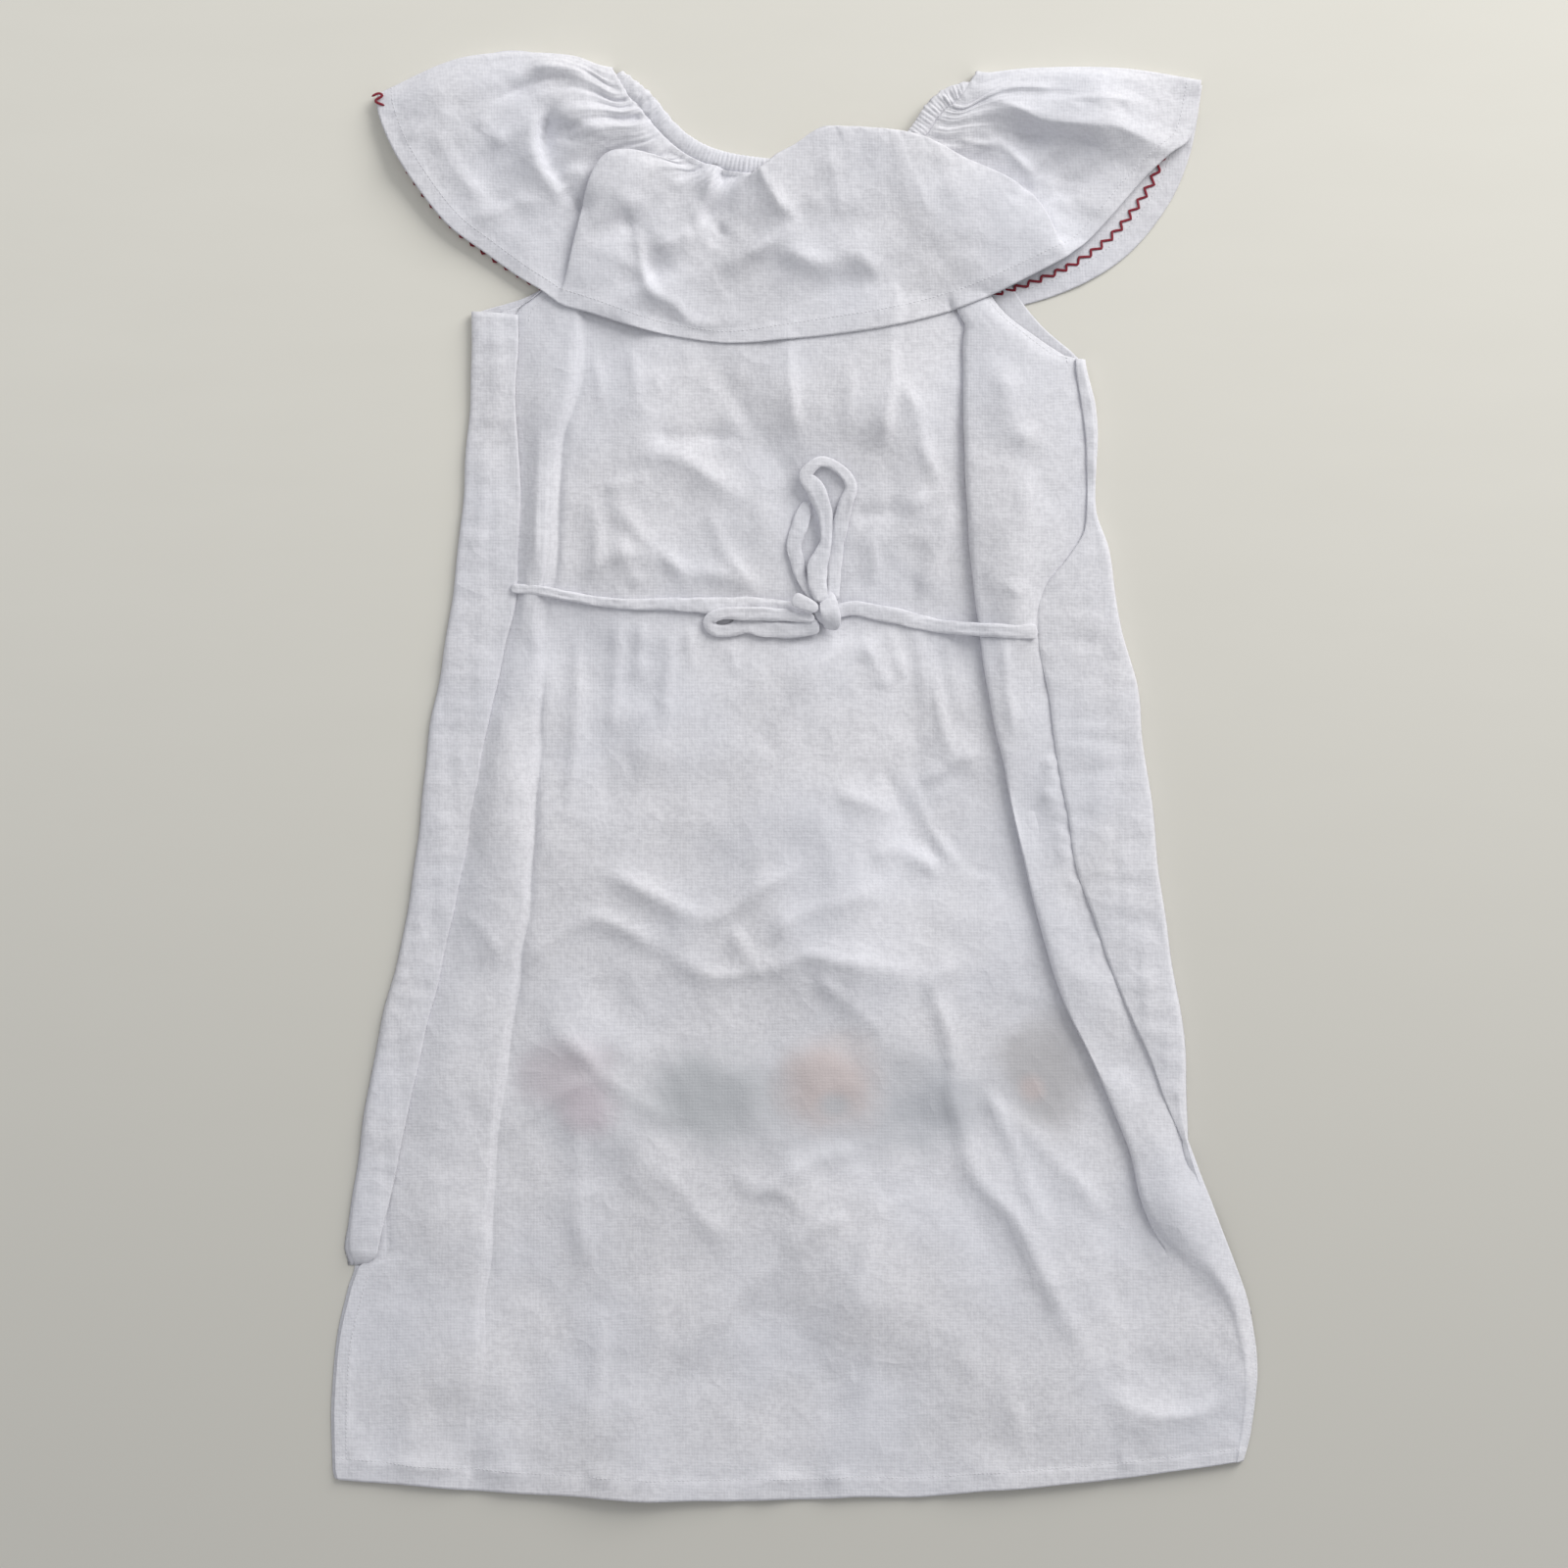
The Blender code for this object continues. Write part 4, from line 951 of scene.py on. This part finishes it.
def rib(distance, seed):
    """Height of the gathers along the casing, from 0 in a groove to 1 on a rib."""
    phase = distance / RIB_PITCH + 0.8 * noise.noise((distance / 11, seed, 0))
    return abs(math.sin(math.pi * phase)) ** 0.7 * (0.75 + 0.5 * noise.noise((distance / 5, 0, seed)))


def build_casing():
    middle, half = (CASING_BACK_Z + CASING_FRONT_Z) / 2, (CASING_BACK_Z - CASING_FRONT_Z) / 2
    run = even(RUN_STEPS)
    turn = [math.pi / 2 - math.pi * k / 10 for k in range(1, 10)]
    stations = [(share, CASING_BACK_Z, 0.0) for share in run]
    stations += [(1.0, middle + half * math.sin(a), half * math.cos(a)) for a in turn]
    stations += [(share, CASING_FRONT_Z, 0.0) for share in run[::-1]]
    stations += [(0.0, middle - half * math.sin(a), -half * math.cos(a)) for a in turn]
    centres, sides = [], []
    for share, z, past in stations:
        inner, outer = neck_point(share, 0), neck_point(share, CASING_WIDTH)
        side = (outer - inner) / np.linalg.norm(outer - inner)
        centre = (inner + outer) / 2 + np.array((-side[1], side[0])) * past
        centres.append(Vector((*centre, z)))
        sides.append(Vector((*side, 0)))
    bm = bmesh.new()
    ring = bmesh.ops.create_circle(bm, segments=CASING_SIDES, radius=1)["verts"]
    bmesh.ops.rotate(bm, verts=ring, cent=(0, 0, 0), matrix=Matrix.Rotation(math.pi / 2, 3, "X"))
    bmesh.ops.translate(bm, verts=ring, vec=(4, 0, 0))
    bmesh.ops.spin(bm, geom=bm.verts[:] + bm.edges[:], cent=(0, 0, 0), axis=(0, 0, 1), angle=math.tau,
                   steps=len(stations), use_merge=True)
    turns = {}
    for vert in bm.verts:
        station = round(math.atan2(vert.co.y, vert.co.x) / math.tau * len(stations)) % len(stations)
        turns.setdefault(station, []).append(vert)
    distance = 0.0
    for station, verts in sorted(turns.items()):
        verts.sort(key=lambda v: math.atan2(v.co.z, math.hypot(v.co.x, v.co.y) - 4))
        along = centres[(station + 1) % len(centres)] - centres[station - 1]
        upward = sides[station].cross(along).normalized()
        distance += along.length / 2
        height = rib(distance, 1.5)
        place = stations[station][0]
        bunched = 1 - ease(0.12, 0.26, place) + ease(0.78, 0.9, place)
        bunch = bunched * noise.noise((distance / 4.5, 7, 0))
        for k, vert in enumerate(verts):
            angle = math.tau * (k + 0.5) / len(verts)
            edge = rib(distance, 1.5 + 3 * round(math.cos(angle)))
            lump = bunched * noise.noise((distance / 3.5, math.cos(angle) * 2, math.sin(angle) * 2))
            out = CASING_WIDTH / 2 * (0.93 + 0.08 * edge + 0.06 * bunch + 0.2 * lump) * math.cos(angle)
            rise = CASING_THICK / 2 * (0.62 + 0.38 * height + 0.5 * bunch + 0.6 * lump) * math.sin(angle)
            vert.co = (centres[station] + sides[station] * out + upward * rise) * MM
    bm.normal_update()
    bmesh.ops.recalc_face_normals(bm, faces=bm.faces)
    surface = BVHTree.FromBMesh(bm)
    obj = add_object("neck_casing_cloth", bm, plain_cotton.material)
    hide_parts("neck_casing")
    return obj, surface


neck_casing, casing_surface = build_casing()

# %% [markdown]
# The back flounce is worked out twice: first coarse, where each point is lifted clear of what is
# below it, and then fine, with gathers that start at the casing and die out, and its own creases.

# %% Back flounce
FLOUNCE_COLUMNS = 12
FLOUNCE_CLEAR = 0.7
TURN_STEPS = [3, 3]
ROWS_PER_SHARE = 400
LIP_Z = CASING_BACK_Z + CASING_THICK / 2 + 0.6
# How far out of the neckline the flounce starts at the left and at the right shoulder
END_OUT = (6.0, -1.0)


def turned_end(section, level):
    """The end of the flounce rolls over the shoulder edge and down to the front flounce."""
    half, down = np.array(section), np.array(section)
    half[:, 1] += 1.6
    half[:, 2] = mix(half[:, 2], level, 0.45)
    down[:, 1] += 1.0
    down[:, 2] = level + 0.6
    return [half, down]


def build_back_flounce(below):
    shares, sections = [], []
    for share, *control in BACK_FLOUNCE:
        middle = ease(-0.03, 0.06, share) * (1 - ease(0.95, 1.03, share))
        end_out = END_OUT[share > 0.5]
        start = (*neck_point(share, mix(end_out - 2.5, FLOUNCE_SEAM - 1.5, middle)), CASING_BACK_Z + 0.2)
        lip = (*neck_point(share, mix(end_out, CASING_WIDTH + LIP_OUT, middle)), LIP_Z)
        row = along_route((start, lip, *control), even(FLOUNCE_COLUMNS))
        for point in row[1:]:
            point[2] = max(point[2], rest_height(below, point[0], point[1], 4) + 1.2)
        shares.append(share)
        sections.append(row)
    left_turn, right_turn = (turned_end(sections[end], FRONT_LAYER) for end in (0, -1))
    sections = left_turn[::-1] + sections + right_turn
    steps = [max(5, round((b - a) * ROWS_PER_SHARE)) for a, b in zip(shares, shares[1:])]
    gaps = TURN_STEPS + steps + TURN_STEPS
    fine = np.einsum("ai,ijk,bj->abk", spline_weights(gaps), np.array(sections),
                     spline_weights([4] * (FLOUNCE_COLUMNS - 2) + [HEM_STEPS]))
    places = [np.linspace(a, b, n, endpoint=False) for a, b, n in zip(shares, shares[1:], steps)]
    turned = sum(TURN_STEPS)
    places = np.concatenate([[shares[0]] * turned, *places, [shares[-1]] * (turned + 1)])
    return fine, places


def gathers_at(place, out):
    """Ripples that start at the casing and die out, with their own pitch and depth."""
    distance = place * NECK_LENGTH
    fine = noise_at(distance, out * 6, 2.1, 9, 1.1) * np.exp(-out * 7) * 2.4
    wide = noise_at(distance + out * 4, out, 5.5, 1.6, 5.1) * np.exp(-out * 3.6) * 6.5
    long = noise_at(distance + out * 8, out, 15, 1.6, 7.7) * np.exp(-out * 1.4) * 2.2
    shoulder = 1 - 0.65 * ease(0.16, 0.3, place)
    calm = ease(-0.03, 0.05, place) * (1 - ease(0.93, 1.0, place))
    return (fine + (wide + long) * shoulder) * ease(0.0, 0.06, out) * mix(0.25, 1, calm)


below = (front_surface, back_surface, casing_surface)
fine, places = build_back_flounce(below)
out = np.linspace(0, 1, fine.shape[1])[None, :] * np.ones((fine.shape[0], 1))
place = places[:, None] * np.ones((1, fine.shape[1]))
x, y = fine[..., 0], fine[..., 1]
lift = 1.3 * relief(x, y, FLOUNCE_CREASES, 3.0) + gathers_at(place, out)
lift += crumple(x, y, 6, FLOUNCE_FACETS) * ease(0.05, 0.3, out)
inside = ease(-0.03, 0.01, places) * (1 - ease(0.98, 1.03, places))
fine[..., 2] += lift * inside[:, None]
rest = np.array([rest_height(below, a, b, 2) for a, b in zip(x.ravel(), y.ravel())]).reshape(x.shape)
fine[:, 1:, 2] = np.maximum(fine[:, 1:, 2], rest[:, 1:] + FLOUNCE_CLEAR)
fine[:, -HEM_STEPS:, 2] += 0.5
fine[:, -HEM_STEPS, 2] -= 0.4
flounce_back, flounce_surface = cloth("flounce_back", fine, plain_cotton.material)

# %% [markdown]
# The ties are turned tubes, pressed flat, so each has a rounded edge on both sides and a shallow
# groove between. Their routes are the ones of the solids, with a width at each point.

# %% Ties and bow. Columns of each route: x, y, lift over the cloth below, width
TIES = {
    "waist_tie_left": ((-183, 121, -0.6, 6.5), (-159, 118, 0, 6.5), (-133, 113, 0, 6.5), (-108, 110, 0, 7),
                       (-76, 110, 0, 8.5), (-50, 109, 0, 11), (-20, 109, 0, 11), (14, 105, 2, 8)),
    "waist_tie_right": ((28, 105, 2, 9), (38, 107.5, 0.6, 9.5), (50, 106, 0, 10), (70, 102, 0, 10.5),
                        (97, 96, 0, 9), (129, 93, 0, 9), (160, 92, 0, 10)),
    "bow_loop_left": ((18, 96, 4.4, 10), (8, 94, 3, 11), (-3, 93.6, 2, 11.5), (-19, 94.6, 1, 12),
                      (-31, 97, 0.6, 12), (-41, 93, 0.4, 8.5), (-50, 93.6, 0.8, 8),
                      (-53.5, 99, 1.2, 8), (-46, 104, 2.4, 8),
                      (-34, 103.6, 3.4, 8.5), (-18, 103.8, 4, 9), (-2, 102.6, 5, 8), (15, 100.6, 7, 6)),
    "bow_loop_up": ((20, 111.6, 7, 9), (17, 122, 5, 12), (17, 134, 4, 13.5), (20, 144, 3.6, 10),
                    (22.5, 153, 3.4, 7.5), (21, 171, 3.4, 10.5), (15.5, 184, 3.4, 12.5),
                    (9.5, 194, 2.6, 9), (19, 202.5, 1.2, 7), (32, 197, 0.4, 7), (38.5, 187, 0, 8),
                    (35, 175, 0, 9.5), (31, 159, 0, 10.5), (28, 140, 0, 10), (27, 112.5, 3, 8)),
    "bow_end_long": ((14, 113, 3, 4), (7, 126, 0.6, 7), (3.6, 137, 0, 9), (1.6, 149, 0, 9.8),
                     (4.6, 160, 0, 11), (8, 169, 0, 10), (10, 177, 0, 6)),
    "bow_end_short": ((17, 106, 10.5, 6.5), (9, 110, 9.6, 9), (0.5, 114.5, 8.2, 9.5)),
}
TIE_THICK = 2.6
TIE_SIDES = 18


def tube(name, line, finish, thick, seed, closed=3, sides=TIE_SIDES):
    """A pressed tube along x, y, z, width points: one ring, extruded from point to point."""
    bm = bmesh.new()
    ring = bmesh.ops.create_circle(bm, cap_ends=True, segments=sides, radius=1)["verts"]
    end = bm.faces[:][0]
    for i, (*point, width) in enumerate(line):
        along = Vector(line[min(i + 1, len(line) - 1)][:3]) - Vector(line[max(i - 1, 0)][:3])
        across = Vector((along.y, -along.x, 0)).normalized()
        upward = across.cross(along).normalized()
        if i:
            start, geometry = end, bmesh.ops.extrude_face_region(bm, geom=[end])["geom"]
            end = next(item for item in geometry if isinstance(item, bmesh.types.BMFace))
            ring = end.verts[:]
            if i > 1:
                bmesh.ops.delete(bm, geom=[start], context="FACES_ONLY")
        tip = min(i, len(line) - 1 - i) / closed
        rounding = math.sqrt(1 - (1 - min(tip, 1)) ** 2) * 0.85 + 0.15
        wander = 0.07 * width * noise.noise((i / 9, seed, 0))
        twist = 0.25 * noise.noise((i / 14, seed, 3))
        for k, vert in enumerate(ring):
            angle = math.tau * (k + 0.5) / len(ring)
            out = math.copysign(abs(math.cos(angle)) ** 0.8, math.cos(angle)) * width / 2
            rise = math.sin(angle) * thick / 2
            groove = 0.30 * math.exp(-(out - 0.7 * wander) ** 2 / 1.2) if rise > 0 else 0
            wrinkle = 0.10 * thick * noise.noise((i / 3.1 + seed, out / 2.2, rise))
            wrinkle += 0.24 * thick * noise.noise((i / 13 + seed, out / 1.3, rise)) * rounding
            rise = rise * (1 - groove) + wrinkle + out * twist
            vert.co = (Vector(point) + across * (out * rounding + wander) + upward * (rise * rounding)) * MM
    bm.normal_update()
    bmesh.ops.recalc_face_normals(bm, faces=bm.faces)
    return add_object(name, bm, finish)


for seed, (name, route) in enumerate(TIES.items()):
    lifted = []
    for x, y, lift, width in route:
        level = rest_height((back_surface, front_surface), x, y, 3)
        lifted.append((x, y, level + CLOTH + TIE_THICK / 2 + lift, width))
    length = sum(math.dist(a[:3], b[:3]) for a, b in zip(lifted, lifted[1:]))
    line = [tuple(p) for p in along_route(lifted, even(round(length / 1.1)))]
    obj = tube(name + "_cloth", line, tie_cotton.material, TIE_THICK, seed * 3.7)
    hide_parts(name)
    print(name, round(length), "mm")

# %% [markdown]
# The knot is the crossing of both ties, with one turn of a tie wrapped over it.

# %% Knot
height = rest_height((back_surface,), *KNOT_CENTRE, 5)
bm = bmesh.new()
bmesh.ops.create_icosphere(bm, subdivisions=4, radius=0.5)
for vert in bm.verts:
    dent = 1 + 0.10 * noise.noise(vert.co * 5 + Vector((2, 0, 0)))
    vert.co = Vector((vert.co.x * 15, vert.co.y * 14, vert.co.z * 9)) * dent * MM
bmesh.ops.translate(bm, vec=metre(KNOT_CENTRE[0], KNOT_CENTRE[1], height + 5), verts=bm.verts)
knot_core = add_object("knot_core", bm, tie_cotton.material)
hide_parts("bow_knot")
wrap = ((21, 115, 3.5, 9), (23, 113, 8, 11), (25, 106, 11, 12.5), (26, 99, 9.5, 12), (25, 93.5, 4.5, 9))
line = along_route([(x, y, height + z, width) for x, y, z, width in wrap], even(28))
knot_wrap = tube("knot_wrap", [tuple(p) for p in line], tie_cotton.material, 2.8, 31.0)
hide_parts("bow_knot")

# %% [markdown]
# Hems are turned twice and sewn with a straight stitch. Each stitch is a short bead of thread, and the
# beads of one line are one mesh.

# %% Stitches
STITCH_PITCH = 2.7
STITCH = (1.0, 0.27, 0.2)


def stitches(name, line, finish, lift=0.28):
    line = np.array(line)
    length = np.linalg.norm(np.diff(line, axis=0), axis=1).sum()
    places = along_route(line, np.arange(0.5, length / STITCH_PITCH) * STITCH_PITCH / length)
    bm = bmesh.new()
    for here, ahead in zip(places, places[1:]):
        turn = Vector(ahead - here).to_track_quat("X", "Z").to_matrix().to_4x4()
        spot = Matrix.Translation(metre(here[0], here[1], here[2] + lift))
        bmesh.ops.create_uvsphere(bm, u_segments=6, v_segments=4, radius=MM,
                                  matrix=spot @ turn @ Matrix.Diagonal((*STITCH, 1)))
    print(name, len(places), "stitches over", round(length), "mm")
    return add_object(name, bm, finish)


thread_white = Finish("thread_white", 0.8)
strands = thread_white.noise(700, 2)
thread_white.colour(thread_white.blend(strands, (0.66, 0.66, 0.69, 1), (0.76, 0.76, 0.78, 1)))
white = thread_white.material
hem_index = ROWS.index(HEM_ROW + HEM_BAND)
stitches("stitches_hem", back_points[hem_index, 2:-2], white)
stitches("stitches_flounce_back", fine[4:-4, -HEM_STEPS + 1], white)
stitches("stitches_flounce_front", front_points[2:-2, -HEM_STEPS + 1], white)
stitches("stitches_slit_left", back_points[hem_index:ROWS.index(SLIT_ROW), 9], white)
stitches("stitches_slit_right", back_points[hem_index:ROWS.index(SLIT_ROW), -3], white)
stitches("stitches_armhole_right", back_points[len(ROWS) - 2:len(ROWS) + 12, -4], white)
stitches("stitches_armhole_left", back_points[len(ROWS) - 2:len(ROWS) + 12, 16], white)

# %% [markdown]
# A thick red thread runs in a zigzag inside the hem of the front flounce. It comes into sight where
# the front flounce shows beyond the back one.

# %% Red zigzag
ZIGZAG_PITCH = 9.0
ZIGZAG_REACH = 2.3
thread_red = Finish("thread_red", 0.85)
strands = thread_red.noise(900, 3)
thread_red.colour(thread_red.blend(strands, (0.15, 0.006, 0.015, 1), (0.33, 0.03, 0.05, 1)))
thread_red.bump(thread_red.noise(1500, 3), 0.6, 0.0006)


def zigzag(name, base, inward, seed):
    """A tube of thread that swings to both sides of a base line."""
    base, inward = np.array(base), np.array(inward)
    length = np.linalg.norm(np.diff(base, axis=0), axis=1).sum()
    count = round(length / ZIGZAG_PITCH * 8)
    middle = along_route(base, even(count))
    side = along_route(inward, even(count)) - middle
    line = []
    for i, (point, away) in enumerate(zip(middle, side)):
        phase = (i / 8 + 0.12 * noise.noise((i / 11, seed, 0))) % 1.0
        swing = ZIGZAG_REACH * (4 * abs(phase - 0.5) - 1) * (1 + 0.2 * noise.noise((i / 9, 0, seed)))
        point = point + away / np.linalg.norm(away) * swing
        line.append((point[0], point[1], point[2] + 0.75, 1.7))
    return tube(name, line, thread_red.material, 1.3, seed, sides=8)


def inside_hem(inset):
    """The line on the front flounce that lies a number of columns inside its edge, which varies."""
    columns = np.arange(front_points.shape[1])
    return np.array([[np.interp(columns[-1] - shift, columns, row[:, axis]) for axis in range(3)]
                     for shift, row in zip(inset, front_points)])


inset = mix(0.4, 6.6, ease(0.45, 0.7, np.linspace(0, 1, len(front_points))))
zigzag("red_zigzag", inside_hem(inset)[9:-3], inside_hem(inset + 1)[9:-3], 5.2)
tip = [(-273.5, 440.5), (-269, 442.5), (-266.5, 441), (-271, 437.5), (-265, 434.6)]
tip_z = rest_height((flounce_surface, front_surface), -268.5, 437, 3) + 0.8
tip_line = [(x, y, tip_z, 1.7) for x, y in tip]
tube("red_tip", [tuple(p) for p in along_route(tip_line, even(24))], thread_red.material, 1.3, 2.0, sides=8)

# %% [markdown]

# %% [markdown]
# The board is a plain pale floor, a warm off-white. It is painted darker towards the hem, as painted shade
# where the window's light falls off.

# %% Board
BOARD = 3.0
bm = bmesh.new()
bmesh.ops.create_grid(bm, x_segments=1, y_segments=1, size=BOARD)
mesh = bpy.data.meshes.new("board")
bm.to_mesh(mesh)
bm.free()
board = bpy.data.objects.new("board", mesh)
bpy.context.scene.collection.objects.link(board)
paint = Finish("board_paint_and_shade", 0.6)
brushed = paint.noise(30, 4, (0.3, 1, 1))
pale = paint.blend(brushed, (0.765, 0.745, 0.675, 1), (0.795, 0.775, 0.705, 1))
along = paint.node("ShaderNodeSeparateXYZ", {}, paint.place, output="Y")
# Painted shade: the board's colour darkens towards the bottom, away from the window lamp.
paint.colour(paint.blend(paint.smooth(along, 0.5, -0.6), pale, (0.62, 0.605, 0.555, 1)))
mesh.materials.append(paint.material)

# %% [markdown]
# The light is soft daylight: a bright world, and one large lamp low at the upper right, which draws
# the creases and lays thin shadows to the lower left.

# %% Light
def lamp(name, place, size, power, colour):
    light = bpy.data.lights.new(name, "AREA")
    light.shape = "SQUARE"
    light.size = size
    light.energy = power
    light.color = colour
    obj = bpy.data.objects.new(name, light)
    bpy.context.scene.collection.objects.link(obj)
    obj.location = place
    obj.rotation_euler = (-Vector(place)).to_track_quat("-Z", "Y").to_euler()


lamp("window", (2.3, 2.7, 1.9), 2.5, 132, (1.0, 0.99, 0.97))
lamp("fill", (-1.6, 1.2, 2.2), 1.6, 6, (0.93, 0.96, 1.0))
world = bpy.data.worlds.new("daylight")
bpy.context.scene.world = world
world.use_nodes = True
world.node_tree.nodes["Background"].inputs["Color"].default_value = (0.97, 0.98, 1.0, 1)
world.node_tree.nodes["Background"].inputs["Strength"].default_value = 0.45
bpy.context.scene.view_settings.view_transform = "Standard"
